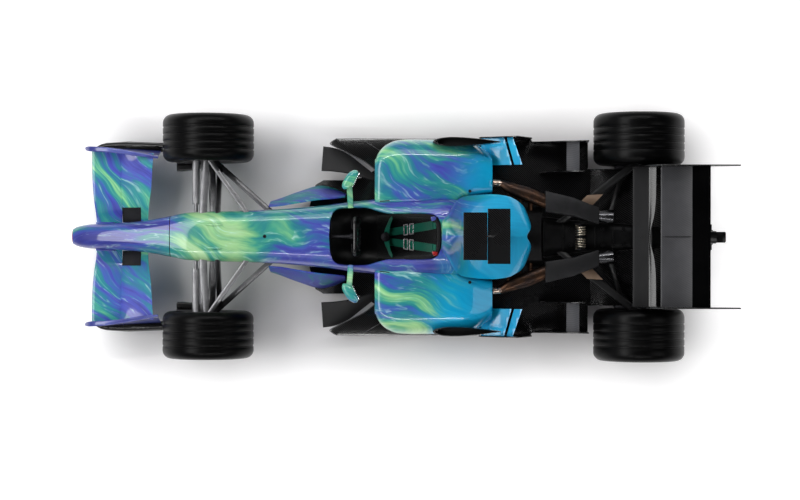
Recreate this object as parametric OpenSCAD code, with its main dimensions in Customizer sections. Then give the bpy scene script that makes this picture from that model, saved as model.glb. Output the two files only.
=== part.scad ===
// Open wheel racing car with grooved tyres, on its wheels.
// Frame in mm: +X forward, +Y left, +Z up, origin on the ground under the middle of the car.
// Stations named s are distances behind the front axle, stations named r behind the rear axle.

/* [Overall] */
// front axle to rear axle
wheelbase = 3135; // [2900:5:3400]
// nose tip ahead of the front axle
nose_overhang = 1005; // [900:5:1150]
// end plate trailing edge behind the rear axle
rear_overhang = 652; // [560:2:760]
// middle of one front tyre to the middle of the other
front_track = 1426; // [1400:2:1500]
// middle of one rear tyre to the middle of the other
rear_track = 1420; // [1390:2:1480]

/* [Wheels] */
// outside diameter of all tyres
tyre_d = 660; // [620:2:700]
// width of a front tyre
front_tyre_w = 342; // [320:1:360]
// width of a rear tyre
rear_tyre_w = 375; // [340:1:400]
// gap between a rear tyre and the diffuser
rear_tyre_gap = 17.5; // [14:0.5:25]
// diameter of the rim seat, 13 inches
rim_d = 330; // [310:1:345]
// radius of a tyre shoulder
shoulder_r = 60; // [40:1:80]
// width of a tread groove
groove_w = 14; // [10:1:18]
// depth of a tread groove
groove_depth = 4; // [2:0.5:8]
// distance between tread grooves
groove_pitch = 53; // [45:1:60]
// number of spokes of a rim
spokes = 7; // [5:1:10]
// radius of the stub axles
axle_r = 30; // [24:1:36]
// play of a turning fit, on the radius
play = 0.4; // [0.3:0.1:1]

/* [Steering] */
// kingpin axis from the car's middle
kingpin_y = 575; // [560:1:590]
// steering arm ahead of the kingpin
steer_arm = 80; // [60:1:90]
// radius of the kingpin studs
kingpin_r = 10; // [8:1:14]
// height of the steering rack
rack_z = 420; // [405:1:440]
// radius of the rack bar
rack_r = 14; // [10:1:18]
// slope of the steering column
column_tilt = 12; // [8:1:16]
// radius of the steering column
column_r = 14; // [10:1:18]
// width of the steering wheel
hand_wheel_w = 270; // [240:2:290]

/* [Chassis] */
// wall of the monocoque
tub_wall = 20; // [14:1:30]
// nose cone and monocoque meet ahead of the front axle
nose_split = 260; // [220:5:300]
// front edge of the cockpit opening behind the front axle
cockpit_s = 898; // [880:2:915]
// length of the cockpit opening
cockpit_l = 789; // [740:1:830]
// half width of the monocoque at the driver's shoulders
tub_half_w = 276; // [265:1:290]
// radius of a jack spigot at the tail
spigot_r = 12; // [10:0.5:16]
// free length of a jack spigot
spigot_l = 40; // [30:1:60]
// length of the roll hoop and tank bay behind the cockpit
bulkhead_t = 150; // [130:1:160]

/* [Floor] */
// underside of the plank above the ground
ride_z = 40; // [30:1:60]
// thickness of the plank
plank_t = 10; // [8:1:14]
// height of the step between reference plane and step plane
step_h = 50; // [40:1:60]
// thickness of the step plane
floor_t = 12; // [8:1:18]
// half width of the floor
floor_half_w = 728; // [712:1:740]
// half width of the plank
plank_half_w = 150; // [120:1:180]

/* [Wings] */
// half span of the front wing planes
front_span_half = 640; // [600:2:660]
// rear end plates stand out from the diffuser's sides
plate_proud = 2; // [0:0.5:4]
// thickness of the end plates
plate_t = 10; // [6:1:14]
// top of the rear end plates
rear_wing_z = 850; // [800:2:900]
// chord of the rear main plane
rear_main_chord = 235; // [200:1:250]
// chord of the rear flap
rear_flap_chord = 128; // [100:1:140]
// chord of the beam wing
beam_chord = 137; // [110:1:150]

/* [Hidden] */
$fn = 48;

front_axle_x = (nose_overhang + wheelbase + rear_overhang) / 2 - nose_overhang;
rear_axle_x = front_axle_x - wheelbase;
hub_z = tyre_d / 2;
tail_half_w = (rear_track - rear_tyre_w) / 2 - rear_tyre_gap;
rear_span_half = tail_half_w - plate_t + plate_proud;
rim_r = rim_d / 2;
cockpit_end = cockpit_s + cockpit_l;
bay_s = cockpit_end + bulkhead_t;
// the bay tables are drawn for this length from the tank bay to the rear axle
bay_drawn_l = 1298;
bay_stretch = (wheelbase - bay_s) / bay_drawn_l;
plank_z = ride_z;
reference_z = plank_z + plank_t;
step_z = reference_z + step_h;
deck_z = step_z + floor_t;
seam = 0.5;
column_z = 600;
column_s = 1070;
ring_n = 28;

// x of a station behind the front axle
function fx(s) = front_axle_x - s;
// x of a station in the bay, in drawn mm behind the front axle
function bx(s) = s <= bay_s ? fx(s) : fx(bay_s) - (s - bay_s) * bay_stretch;
// x of a station behind the rear axle
function rx(r) = rear_axle_x - r;
function unit(v) = v / norm(v);
function power(c, e) = sign(c) * pow(abs(c), 2 / e);

// one rounded section across the car: widest at zm, exponents eb below, et above, ei on the inner side
function section(x, yc, w, z0, zm, z1, eb, et, ei = 0, n = ring_n) =
    [for (i = [0 : n - 1])
        let (a = 360 * i / n,
             e = ei > 0 && cos(a) < 0 ? ei : sin(a) < 0 ? eb : et,
             c = power(cos(a), e),
             d = power(sin(a), e))
        [x, yc + w * c, zm + (d < 0 ? zm - z0 : z1 - zm) * d]];

// open section from the left rim under the car to the right rim, rim at half width o
function trough(x, w, z0, zm, z1, eb, et, o, n = ring_n) =
    let (c = pow(min(o / w, 0.999), et / 2), rim = acos(c))
    [for (i = [0 : n])
        let (a = rim - (180 + 2 * rim) * i / n,
             c1 = power(cos(a), sin(a) < 0 ? eb : et),
             d = power(sin(a), sin(a) < 0 ? eb : et))
        [x, w * c1, zm + (d < 0 ? zm - z0 : z1 - zm) * d]];

// closed foil section in chord and height, nose at the origin, trailing edge at -chord
function foil(chord, thick, camber, n = 9) = concat(
    [for (i = [0 : n]) let (u = i / n)
        [-chord * u * u, thick * (sqrt(u * u) - u * u * u * u) * 1.3 + camber * 4 * u * u * (1 - u * u) + 1]],
    [for (i = [n : -1 : 1]) let (u = i / n)
        [-chord * u * u, -thick * (u - u * u * u * u) * 0.6 + camber * 4 * u * u * (1 - u * u) - 1]]);

// solid through closed rings that run from front to back
module loft(rings, flip = false) {
    n = len(rings[0]);
    m = len(rings);
    skin = [for (k = [0 : m - 2], i = [0 : n - 1])
        let (j = (i + 1) % n, a = k * n + i, b = k * n + j, c = a + n, d = b + n)
        each [[a, b, d], [a, d, c]]];
    last = (m - 1) * n;
    caps = concat([for (i = [1 : n - 2]) [0, i + 1, i]],
        [for (i = [1 : n - 2]) [last, last + i, last + i + 1]]);
    faces = concat(skin, caps);
    polyhedron(points = [for (r = rings) each r],
        faces = flip ? [for (f = faces) [f[0], f[2], f[1]]] : faces);
}

// thick skin between outer and inner closed rings, open or closed at each end
module pipe_skin(outer, inner, close_front = false, close_rear = false) {
    n = len(outer[0]);
    m = len(outer);
    o = m * n;
    last = (m - 1) * n;
    skin = [for (k = [0 : m - 2], i = [0 : n - 1])
        let (j = (i + 1) % n, a = k * n + i, b = k * n + j, c = a + n, d = b + n)
        each [[a, b, d], [a, d, c], [o + a, o + d, o + b], [o + a, o + c, o + d]]];
    front = close_front
        ? [for (i = [1 : n - 2]) each [[0, i + 1, i], [o, o + i, o + i + 1]]]
        : [for (i = [0 : n - 1]) let (j = (i + 1) % n) each [[i, o + i, o + j], [i, o + j, j]]];
    rear = close_rear
        ? [for (i = [1 : n - 2]) each [[last, last + i, last + i + 1],
            [o + last, o + last + i + 1, o + last + i]]]
        : [for (i = [0 : n - 1]) let (j = (i + 1) % n, a = last + i, b = last + j)
            each [[a, b, o + b], [a, o + b, o + a]]];
    polyhedron(points = concat([for (r = outer) each r], [for (r = inner) each r]),
        faces = concat(skin, front, rear));
}

// thick skin between outer and inner open rings, edges and ends closed by narrow faces
module open_skin(outer, inner) {
    n = len(outer[0]);
    m = len(outer);
    o = m * n;
    last = (m - 1) * n;
    skin = [for (k = [0 : m - 2], i = [0 : n - 2])
        let (a = k * n + i, b = a + 1, c = a + n, d = b + n)
        each [[a, d, b], [a, c, d], [o + a, o + b, o + d], [o + a, o + d, o + c]]];
    rims = [for (k = [0 : m - 2])
        let (a = k * n, c = a + n, b = a + n - 1, d = b + n)
        each [[a, o + c, c], [a, o + a, o + c], [b, d, o + d], [b, o + d, o + b]]];
    ends = [for (i = [0 : n - 2])
        let (a = i, b = i + 1, c = last + i, d = last + i + 1)
        each [[a, b, o + b], [a, o + b, o + a], [c, o + d, d], [c, o + c, o + d]]];
    polyhedron(points = concat([for (r = outer) each r], [for (r = inner) each r]),
        faces = concat(skin, rims, ends));
}

// both sides of the car
module pair() {
    children();
    mirror([0, 1, 0]) children();
}

// bar of oval section from p to q, its width lying along the car
module blade(p, q, chord, thick) {
    w = unit(q - p);
    u = unit([1, 0, 0] - w.x * w);
    v = cross(w, u);
    multmatrix([[u.x, v.x, w.x, p.x], [u.y, v.y, w.y, p.y], [u.z, v.z, w.z, p.z], [0, 0, 0, 1]])
        linear_extrude(height = norm(q - p))
            polygon([for (i = [0 : 11]) [chord / 2 * cos(i * 30), thick / 2 * sin(i * 30)]]);
}

// round bar from p to q
module bar(p, q, r) {
    w = unit(q - p);
    u = unit(abs(w.x) > 0.9 ? cross([0, 0, 1], w) : cross([1, 0, 0], w));
    v = cross(w, u);
    multmatrix([[u.x, v.x, w.x, p.x], [u.y, v.y, w.y, p.y], [u.z, v.z, w.z, p.z], [0, 0, 0, 1]])
        cylinder(h = norm(q - p), r = r);
}

// straight wing across the car between y0 and y1, nose at x and z, pitched up at the rear
module plane(x, z, chord, thick, camber, pitch, y0, y1) {
    translate([x, y1, z]) rotate([0, pitch, 0]) rotate([90, 0, 0])
        linear_extrude(height = y1 - y0) polygon(foil(chord, thick, camber));
}

// upright plate of outline pts in x and z between y0 and y1
module side_plate(pts, y0, y1) {
    translate([0, y1, 0]) rotate([90, 0, 0]) linear_extrude(height = y1 - y0) polygon(pts);
}

// leaning panel through rows of s, y_low, z_low, y_high, z_high
module panel(rows, t) {
    loft([for (p = rows) [[fx(p[0]), p[1] + t, p[2]], [fx(p[0]), p[3] + t, p[4]],
        [fx(p[0]), p[3], p[4]], [fx(p[0]), p[1], p[2]]]]);
}

// columns: station s, half width, bottom, widest height, top, roundness below, roundness above
nose_rows = [
    [-nose_overhang, 42, 238, 262, 290, 2, 2],
    [-990, 58, 225, 262, 308, 2.2, 2.2],
    [-950, 76, 216, 265, 332, 2.4, 2.4],
    [-860, 90, 218, 280, 366, 2.6, 2.6],
    [-700, 96, 240, 310, 415, 2.8, 2.8],
    [-480, 112, 275, 360, 470, 3, 3],
    [-nose_split, 148, 304, 410, 524, 3.2, 3.2]];

chassis_rows = [
    [-nose_split, 148, 304, 410, 524, 3.2, 3.2],
    [-135, 172, 318, 430, 548, 3.4, 3.4],
    [0, 180, 325, 440, 570, 3.4, 3.4],
    [276, 186, 315, 450, 600, 3.4, 3.4],
    [500, 196, 298, 455, 615, 3.4, 3.4],
    [700, 212, 260, 460, 632, 3.4, 3.4],
    [cockpit_s, 232, 180, 450, 648, 3.6, 3.4]];

// columns: station s, half width, bottom, widest height, top, half width of the opening
tub_rows = [
    [cockpit_s, 232, 180, 450, 648, 120],
    [cockpit_s + 18, 235, 170, 448, 648, 176],
    [cockpit_s + 60, 240, 150, 445, 648, 204],
    [cockpit_s + 140, 252, deck_z + 20, 440, 648, 213],
    [cockpit_s + 250, 264, deck_z + seam, 430, 648, 212],
    [cockpit_s + 340, 272, deck_z + seam, 430, 650, 188],
    [cockpit_s + 425, tub_half_w, deck_z + seam, 430, 655, 171],
    [cockpit_s + 640, tub_half_w, deck_z + seam, 430, 672, 171],
    [cockpit_end - 70, tub_half_w, deck_z + seam, 430, 686, 166],
    [cockpit_end - 22, tub_half_w, deck_z + seam, 430, 694, 142],
    [cockpit_end, tub_half_w, deck_z + seam, 430, 698, 100]];

// columns: station s in the bay, inner y, outer y, bottom, top, roundness
pod_rows = [
    [1215, 235, 560, 330, 585, 4],
    [1250, 232, 620, 300, 600, 3.6],
    [1300, 230, 665, 270, 606, 3.2],
    [1380, 228, 697, 230, 606, 3],
    [1500, 228, 705, 175, 600, 3],
    [1640, 228, 705, 132, 585, 3],
    [1800, 240, 700, deck_z + seam, 560, 3],
    [bay_s + 1, tub_half_w - 4, 697, deck_z + seam, 551, 3],
    [1930, 290, 680, deck_z + seam, 525, 3],
    [2061, 312, 600, deck_z + seam, 470, 3]];
pod_wall = 14;
pod_inner_e = 9;

// columns: station s in the bay, half width, bottom, widest height, top, roundness below and above
cover_rows = [
    [cockpit_end + 4, 112, 698.5, 780, 925, 3, 2.2],
    [cockpit_end + 40, 150, 660, 750, 945, 3, 1.9],
    [cockpit_end + 98, 240, 580, 640, 950, 3, 1.15],
    [bay_s, tub_half_w + 6, 540, 580, 946, 3, 0.95],
    [1880, 292, 535, 572, 925, 3, 0.95],
    [2050, 304, 530, 570, 850, 3, 1.0],
    [2160, 292, 535, 572, 808, 3, 1.05],
    [2240, 255, 535, 570, 778, 3, 1.1],
    [2290, 205, 530, 565, 760, 3, 1.2],
    [2326, 110, 535, 575, 745, 3, 1.5]];
cover_wall = 10;

function shrink(row, t, tz = 0) = [row[0], row[1] - t, row[2] + t, row[3], row[4] - t - tz, row[5], row[6]];
function between(a, b, f) = a + (b - a) * f;
function chassis_ring(p) = section(fx(p[0]), 0, p[1], p[2], p[3], p[4], p[5], p[6]);

module nose_cone() {
    color("#2a4fb0") loft([for (p = nose_rows) chassis_ring(p)]);
}

module front_wing_main() {
    // columns: y, leading edge s, height, chord, pitch
    rows = [
        [-front_span_half, -864, 232, 218, 4],
        [-430, -862, 226, 216, 4],
        [-270, -852, 214, 208, 3],
        [-170, -842, 190, 196, 2],
        [-100, -838, 176, 190, 2],
        [100, -838, 176, 190, 2],
        [170, -842, 190, 196, 2],
        [270, -852, 214, 208, 3],
        [430, -862, 226, 216, 4],
        [front_span_half, -864, 232, 218, 4]];
    color("#2a4fb0") difference() {
        loft([for (p = rows) [for (q = foil(p[3], 16, -6))
            [fx(p[1]) + q.x * cos(p[4]), p[0], p[2] + q.y - q.x * sin(p[4])]]]);
        pair() front_plate(2 * plate_t);
    }
}

module front_wing_flaps() {
    // columns: y, leading edge s, height, chord, pitch
    rows = [
        [104, -640, 196, 206, 20],
        [214, -642, 226, 220, 21],
        [340, -646, 248, 246, 21],
        [500, -648, 256, 258, 20],
        [front_span_half, -648, 256, 264, 18]];
    color("#2a4fb0") pair() difference() {
        loft([for (p = rows) [for (q = foil(p[3], 14, -8))
            [fx(p[1]) + q.x * cos(p[4]), p[0], p[2] + q.y - q.x * sin(p[4])]]]);
        front_plate(12 * plate_t);
    }
}

// leaning plate at a front wing tip
module front_plate(t) {
    // columns: station s, y at the foot, y at the top, top height
    rows = [[-903, 647, 645, 250], [-864, 646, 643, 300], [-760, 644, 636, 330], [-620, 640, 618, 345],
        [-480, 634, 594, 352], [-362, 627, 573, 352]];
    loft([for (p = rows) [[fx(p[0]), p[1] + t, 180], [fx(p[0]), p[2] + t, p[3]],
        [fx(p[0]), p[2], p[3]], [fx(p[0]), p[1], 180]]]);
}

module front_wing_end_plates() {
    color("#24356e") pair() {
        front_plate(plate_t);
        translate([0, 0, 172]) linear_extrude(height = 9)
            polygon([[fx(-840), 660], [fx(-770), 690], [fx(-600), 700], [fx(-350), 690],
                [fx(-350), 622], [fx(-600), 634], [fx(-840), 640]]);
    }
}

module front_wing_pylons() {
    color("#2a4fb0") difference() {
        pair() loft([for (s = [-820, -690])
            [[fx(s), 104, 150], [fx(s), 104, 326], [fx(s), 78, 326], [fx(s), 88, 150]]]);
        loft([for (p = nose_rows) chassis_ring(p)]);
        front_wing_main();
        translate([fx(-600), -tub_half_w, 0]) cube([nose_overhang, 2 * tub_half_w, 178]);
    }
}

module monocoque() {
    color("#2c7fb8") difference() {
        pipe_skin([for (p = chassis_rows) chassis_ring(p)],
            [for (i = [0 : len(chassis_rows) - 1]) let (p = chassis_rows[i],
                q = shrink([p[0] + (i == 0 ? tub_wall : 0), p[1], p[2], p[3], p[4], p[5], p[6]], tub_wall,
                    i > 4 ? 95 : 0))
                chassis_ring(q)], close_front = true);
        translate([fx(-steer_arm), 0, rack_z]) rotate([90, 0, 0])
            cylinder(h = 4 * tub_half_w, r = rack_r + play, center = true);
        column_path(column_r + play, 245);
    }
}

// the monocoque's outside as one solid
module chassis_solid() {
    loft([for (p = chassis_rows) chassis_ring(p)]);
}

// the steering column's axis from the hand wheel forward
module column_path(r, l) {
    translate([fx(column_s), 0, column_z]) rotate([0, 90 + column_tilt, 0]) cylinder(h = l, r = r);
}

module cockpit_tub() {
    color("#2c7fb8") open_skin(
        [for (p = tub_rows) trough(fx(p[0]), p[1], p[2], p[3], p[4], 3.6, 3.4, p[5])],
        [for (p = tub_rows) trough(fx(p[0]), p[1] - tub_wall, p[2] + tub_wall, p[3], p[4] - tub_wall,
            3.6, 3.4, p[5])]);
}

// the cockpit's outside as one solid, closed flat across the opening
module tub_solid() {
    loft([for (p = tub_rows) trough(fx(p[0]), p[1], p[2], p[3], p[4], 3.6, 3.4, p[5])], true);
}

module roll_hoop() {
    // columns: distance behind the cockpit, half width, top
    rows = [[0, tub_half_w, 698], [40, tub_half_w, 694], [bulkhead_t, tub_half_w - 1, 640]];
    color("#2c7fb8") loft([for (p = rows)
        section(fx(cockpit_end + p[0]), 0, p[1], deck_z + seam, 430, p[2], 3.6, 3.4)]);
}

module seat() {
    // columns: station s, half width, height of the cushion, height of its side
    rows = [[1230, 165, 190, 130], [1330, 170, 160, 150], [1430, 172, 165, 200], [1500, 172, 215, 230],
        [1580, 168, 330, 200], [1660, 150, 520, 90]];
    color("#1a1a1c") open_skin(
        [for (p = rows) [[fx(p[0]), p[1], p[2] + p[3]], [fx(p[0]), p[1], p[2] + 40],
            [fx(p[0]), p[1] - 24, p[2]], [fx(p[0]), 24 - p[1], p[2]], [fx(p[0]), -p[1], p[2] + 40],
            [fx(p[0]), -p[1], p[2] + p[3]]]],
        [for (p = rows) [[fx(p[0]), p[1] - 14, p[2] + p[3]], [fx(p[0]), p[1] - 14, p[2] + 48],
            [fx(p[0]), p[1] - 32, p[2] + 16], [fx(p[0]), 32 - p[1], p[2] + 16],
            [fx(p[0]), 14 - p[1], p[2] + 48], [fx(p[0]), 14 - p[1], p[2] + p[3]]]]);
    color("#1a1a1c") translate([fx(1430) - 30, -60, deck_z + tub_wall + 2.3])
        cube([60, 120, 165 - deck_z - tub_wall]);
}

module belts() {
    strap_half_w = 28;
    strap_t = 5;
    // columns: station s, y of the strap's middle, height
    rows = [[1300, 31, 185.6], [1380, 44, 179], [1430, 51, 181.5], [1500, 62, 231.5], [1580, 74, 346.5],
        [1655, 86, 524.7]];
    color("#3fae49") pair() loft([for (p = rows)
        [[fx(p[0]), p[1] + strap_half_w, p[2]], [fx(p[0]), p[1] + strap_half_w, p[2] + strap_t],
         [fx(p[0]), p[1] - strap_half_w, p[2] + strap_t], [fx(p[0]), p[1] - strap_half_w, p[2]]]]);
}

module mirrors() {
    // columns: station s, y, half width along the car, height of the shell
    rows = [[334, 20, 8], [350, 44, 30], [385, 60, 46], [425, 58, 50], [455, 40, 40], [469, 16, 14]];
    color("#20386e") pair() {
        loft([for (p = rows) let (s = 1010 + (p[0] - 334) * 0.5)
            [for (i = [0 : 11]) [fx(s) + p[1] * 0.75 * cos(30 * i), p[0], 715 + p[2] / 2 * sin(30 * i)]]]);
        difference() {
            blade([fx(1044), 212, 606], [fx(1034), 400, 708], 40, 9);
            cockpit_tub();
        }
    }
}

// one ring of the left sidepod, its skin drawn in by t
function pod_ring(p, t) = section(bx(p[0]), (p[1] + p[2]) / 2, (p[2] - p[1]) / 2 - t, p[3] + t,
    (p[3] + p[4]) / 2, p[4] - t, p[5], p[5], pod_inner_e);

module pod_solid() {
    loft([for (p = pod_rows) pod_ring(p, 0)]);
}

module sidepod_shape(side) {
    color("#1f8f9e") difference() {
        mirror([0, side < 0 ? 1 : 0, 0]) pipe_skin(
            [for (p = pod_rows) pod_ring(p, 0)], [for (p = pod_rows) pod_ring(p, pod_wall)]);
        tub_solid();
        roll_hoop();
    }
}

module sidepod_left() {
    sidepod_shape(1);
}

module sidepod_right() {
    sidepod_shape(-1);
}

module radiators() {
    color("#55585c") difference() {
        pair() loft([pod_ring(pod_rows[4], pod_wall + seam),
            pod_ring(between(pod_rows[4], pod_rows[5], 0.5), pod_wall + seam)]);
        tub_solid();
    }
}

module chimneys() {
    l = 486;
    outer = [for (i = [0 : 15]) let (a = i * 22.5)
        [-l / 2 + l / 2 * cos(a), 42 * sin(a) * (1.15 - 0.45 * (0.5 - 0.5 * cos(a)) * 2)]];
    color("#17181a") pair() difference() {
        translate([bx(1631), 678, 470]) linear_extrude(height = 150) polygon(outer);
        translate([bx(1631) - l * 0.04, 678, 560]) linear_extrude(height = 75)
            polygon([for (p = outer) [p.x * 0.92, p.y * 0.75]]);
        pod_solid();
    }
}

module bargeboards() {
    color("#2c7fb8") pair() panel([[450, 250, 262, 212, 480], [520, 276, 200, 216, 500],
        [650, 326, 150, 236, 520], [816, 372, deck_z + seam, 262, 520], [910, 352, deck_z + seam, 270, 490],
        [998, 312, deck_z + seam, 282, 430]], 9);
}

module deflectors() {
    color("#17181a") pair() panel([[827, 662, deck_z + seam, 474, 420], [900, 652, deck_z + seam, 470, 440],
        [1010, 606, deck_z + seam, 456, 440], [1110, 530, deck_z + seam, 430, 425],
        [1206, 455, deck_z + seam, 401, 400]], 9);
}

// slanted upright band between lines at s0 to s1 inboard and s2 to s3 outboard, to cut a wing
module slant(s0, s1, s2, s3) {
    translate([0, 0, deck_z]) linear_extrude(height = 600)
        polygon([[bx(s0), 500], [bx(s1), 500], [bx(s3), floor_half_w + 12], [bx(s2), floor_half_w + 12]]);
}

module flip_ups() {
    y1 = floor_half_w - 9;
    y2 = floor_half_w - 37;
    color("#00a6d6") pair() difference() {
        union() {
            difference() {
                plane(bx(1988), 328, 330, 14, -14, 28, 521, y1 + 1);
                slant(2208, 2226, 2144, 2162);
                slant(2283, 2420, 2204, 2420);
            }
            plane(bx(2609), 330, 116, 10, -10, 42, 478, y2 + 1);
            side_plate([[bx(1970), 300], [bx(1978), 350], [bx(2080), 405], [bx(2160), 465], [bx(2240), 505],
                [bx(2360), 300], [bx(2360), deck_z + seam], [bx(2060), deck_z + seam]], y1, y1 + 8);
            side_plate([[bx(2380), 260], [bx(2520), 340], [bx(2600), 395], [bx(2760), 460],
                [bx(2775), 250], [bx(2775), deck_z + seam], [bx(2380), deck_z + seam]], y2, y2 + 8);
            side_plate([[bx(2430), 150], [bx(2500), 280], [bx(2590), 390], [bx(2730), 450], [bx(2750), 300],
                [bx(2750), deck_z + seam], [bx(2430), deck_z + seam]], 472, 480);
        }
        pod_solid();
    }
}

module floor() {
    color("#141416") {
        translate([0, 0, step_z]) linear_extrude(height = floor_t) polygon(concat(
            [for (p = floor_edge()) p],
            [for (i = [len(floor_edge()) - 1 : -1 : 0]) [floor_edge()[i].x, -floor_edge()[i].y]]));
        translate([0, 0, reference_z]) linear_extrude(height = step_h + 1)
            polygon([[fx(640), 110], [fx(900), plank_half_w + 50], [rx(-330), plank_half_w + 50],
                [rx(-330), -plank_half_w - 50], [fx(900), -plank_half_w - 50], [fx(640), -110]]);
    }
}

// half outline of the step plane from the front
function floor_edge() = [[fx(700), 130], [fx(770), 385], [fx(830), 420], [fx(1000), 420], [fx(1120), 440],
    [fx(1211), 497], [fx(1130), 560], [fx(1000), 625], [fx(890), 680], [fx(885), 700],
    [fx(930), floor_half_w], [bx(2364), floor_half_w], [bx(2372), floor_half_w - 20],
    [bx(2527), floor_half_w - 20], [bx(2535), floor_half_w - 28], [rx(-350), floor_half_w - 28],
    [rx(-350), tail_half_w], [rx(-330), tail_half_w]];

module plank() {
    color("#6d5a3c") translate([rx(-330), -plank_half_w, plank_z])
        cube([fx(700) - rx(-330), 2 * plank_half_w, plank_t]);
}

module diffuser() {
    color("#141416") {
        side_plate([[rx(-330), step_z], [rx(-100), step_z + 20], [rx(120), step_z + 75], [rx(350), step_z + 160],
            [rx(350), step_z + 160 + floor_t], [rx(120), step_z + 75 + floor_t], [rx(-100), step_z + 20 + floor_t],
            [rx(-330), step_z + floor_t]], -tail_half_w + plate_t, tail_half_w - plate_t);
        for (y = [-tail_half_w, -300, -130, 120, 290, tail_half_w - plate_t])
            side_plate([[rx(-330), reference_z + 20], [rx(350), reference_z + 40], [rx(350), step_z + 166],
                [rx(120), step_z + 81], [rx(-100), step_z + 26], [rx(-330), step_z + 6]], y, y + plate_t);
    }
}

// the cover's outside as one solid
module cover_solid() {
    loft([for (p = cover_rows) section(bx(p[0]), 0, p[1], p[2], p[3], p[4], p[5], p[6])]);
}

module engine_cover() {
    t = cover_wall;
    color("#00a6d6") difference() {
        pipe_skin(
            [for (p = cover_rows) section(bx(p[0]), 0, p[1], p[2], p[3], p[4], p[5], p[6])],
            [for (p = cover_rows) section(bx(p[0]), 0, p[1] - t * 1.4, p[2] + t, p[3], p[4] - t * 2, p[5], p[6])]);
        roll_hoop();
        pair() pod_solid();
    }
}

module cover_winglet() {
    color("#17181a") {
        plane(bx(1836), 962, 167, 9, -5, 4, -166, 166);
        plane(bx(2006), 950, 158, 9, -5, 6, -192, 192);
        difference() {
            side_plate([[bx(1870), 860], [bx(2120), 780], [bx(2130), 958], [bx(1870), 964]], -5, 5);
            cover_solid();
        }
    }
}

module engine_block() {
    color("#4a4c50") translate([bx(2420), 0, 0]) rotate([90, 0, 90])
        linear_extrude(height = bx(1840) - bx(2420))
            polygon([[-120, deck_z + seam], [120, deck_z + seam], [150, 260], [252, 400], [170, 500], [90, 440],
                [-90, 440], [-170, 500], [-252, 400], [-150, 260]]);
}

// round tube through points, n sided, ends closed
module tube_path(pts, r, n = 8) {
    m = len(pts);
    loft([for (k = [0 : m - 1])
        let (d = unit(pts[min(k + 1, m - 1)] - pts[max(k - 1, 0)]),
             u = unit(cross([0, 0, 1], d)), v = cross(d, u))
        [for (i = [0 : n - 1]) pts[k] + r * (cos(360 * i / n) * u + sin(360 * i / n) * v)]], true);
}

module exhausts() {
    pipe_z = 480;
    // columns: station s, y of the middle, half width
    rows = [[2118, 384, 29], [2160, 360, 42], [2230, 332, 50], [2325, 300, 57], [2450, 252, 53]];
    color("#8a6a45") pair() difference() {
        union() {
            bar([bx(2066), 388, pipe_z], [bx(2128), 384, pipe_z], 25);
            for (i = [0 : 2]) let (s = 2180 + 78 * i)
                bar([bx(s), 140, pipe_z - 30], [bx(s), 345 - 26 * i, pipe_z], 19);
            loft([for (p = rows) section(bx(p[0]), p[1], p[2], pipe_z - 0.8 * p[2], pipe_z, pipe_z + 0.8 * p[2],
                2.2, 2.2)]);
        }
        heat_shields();
        engine_block();
    }
}

module heat_shields() {
    color("#4b4e54") pair() loft([for (p = [[2440.5, 178, 330, 430, 530], [2640, 150, 282, 440, 535],
        [2824, 93, 210, 450, 540]])
        [[bx(p[0]), p[2], p[3]], [bx(p[0]), p[2], p[4]], [bx(p[0]), p[1], p[4]], [bx(p[0]), p[1], p[3]]]]);
}

module tailpipes() {
    color("#b9bcc2") pair() difference() {
        translate([bx(2810), 150, 494]) rotate([0, -85, 4]) difference() {
            cylinder(h = 120, r1 = 40, r2 = 54);
            translate([0, 0, 24]) cylinder(h = 120, r1 = 38, r2 = 52);
        }
        heat_shields();
    }
}

module gearbox() {
    color("#3c3e42") loft([for (p = [[-705, 150, 130, 400], [-400, 118, 135, 410], [-60, 96, 150, 415],
        [160, 70, 250, 400]])
        section(rx(p[0]), 0, p[1], p[2], (p[2] + p[3]) / 2, p[3], 4, 4)]);
}

module coil_springs() {
    turns = 4;
    steps = 12;
    color("#c9ccd2") {
        pair() tube_path([for (i = [0 : turns * steps]) let (a = 360 * i / steps)
            [rx(-435) + 33 * cos(a), 12 + 70 * i / (turns * steps), 456 + 33 * sin(a)]], 5.5, 6);
        bar([rx(-435), -96, 456], [rx(-435), 96, 456], 12);
        pair() bar([rx(-435), 88, 456], [rx(-435), 96, 456], 42);
        difference() {
            for (y = [-92, 92]) translate([rx(-435) - 12, y - 4, 370]) cube([24, 8, 80]);
            gearbox();
            rear_upper_arms();
        }
    }
}

// eye around the kingpin stud
module eye(z0, z1) {
    translate([fx(0), kingpin_y, z0]) cylinder(h = z1 - z0, r = kingpin_r + 12);
}

module eye_bore(z0) {
    translate([fx(0), kingpin_y, z0 - 50]) cylinder(h = 130, r = kingpin_r + play);
}

module front_upper_arms() {
    color("#b8bcc4") difference() {
        pair() {
            blade([fx(-20), 140, 516], [fx(-12), kingpin_y, 450], 58, 14);
            blade([fx(310), 150, 545], [fx(8), kingpin_y, 450], 38, 13);
            eye(437, 463);
        }
        pair() eye_bore(437);
        chassis_solid();
    }
}

module front_lower_arms() {
    color("#26282c") difference() {
        pair() {
            blade([fx(46), 120, 356], [fx(4), kingpin_y, 210], 58, 14);
            blade([fx(490), 150, 345], [fx(12), kingpin_y, 210], 42, 14);
            eye(197, 223);
        }
        pair() eye_bore(197);
        chassis_solid();
    }
}

module front_pushrods() {
    color("#1d1e21") difference() {
        pair() blade([fx(75), 512, 232], [fx(88), 140, 548], 40, 16);
        chassis_solid();
        front_lower_arms();
    }
}

module rear_upper_arms() {
    color("#26282c") difference() {
        pair() {
            blade([rx(-600), 85, 380], [rx(-25), rear_track / 2 - 165, 440], 52, 12);
            blade([rx(70), 50, 370], [rx(10), rear_track / 2 - 165, 440], 42, 12);
        }
        gearbox();
        rear_uprights();
    }
}

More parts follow.
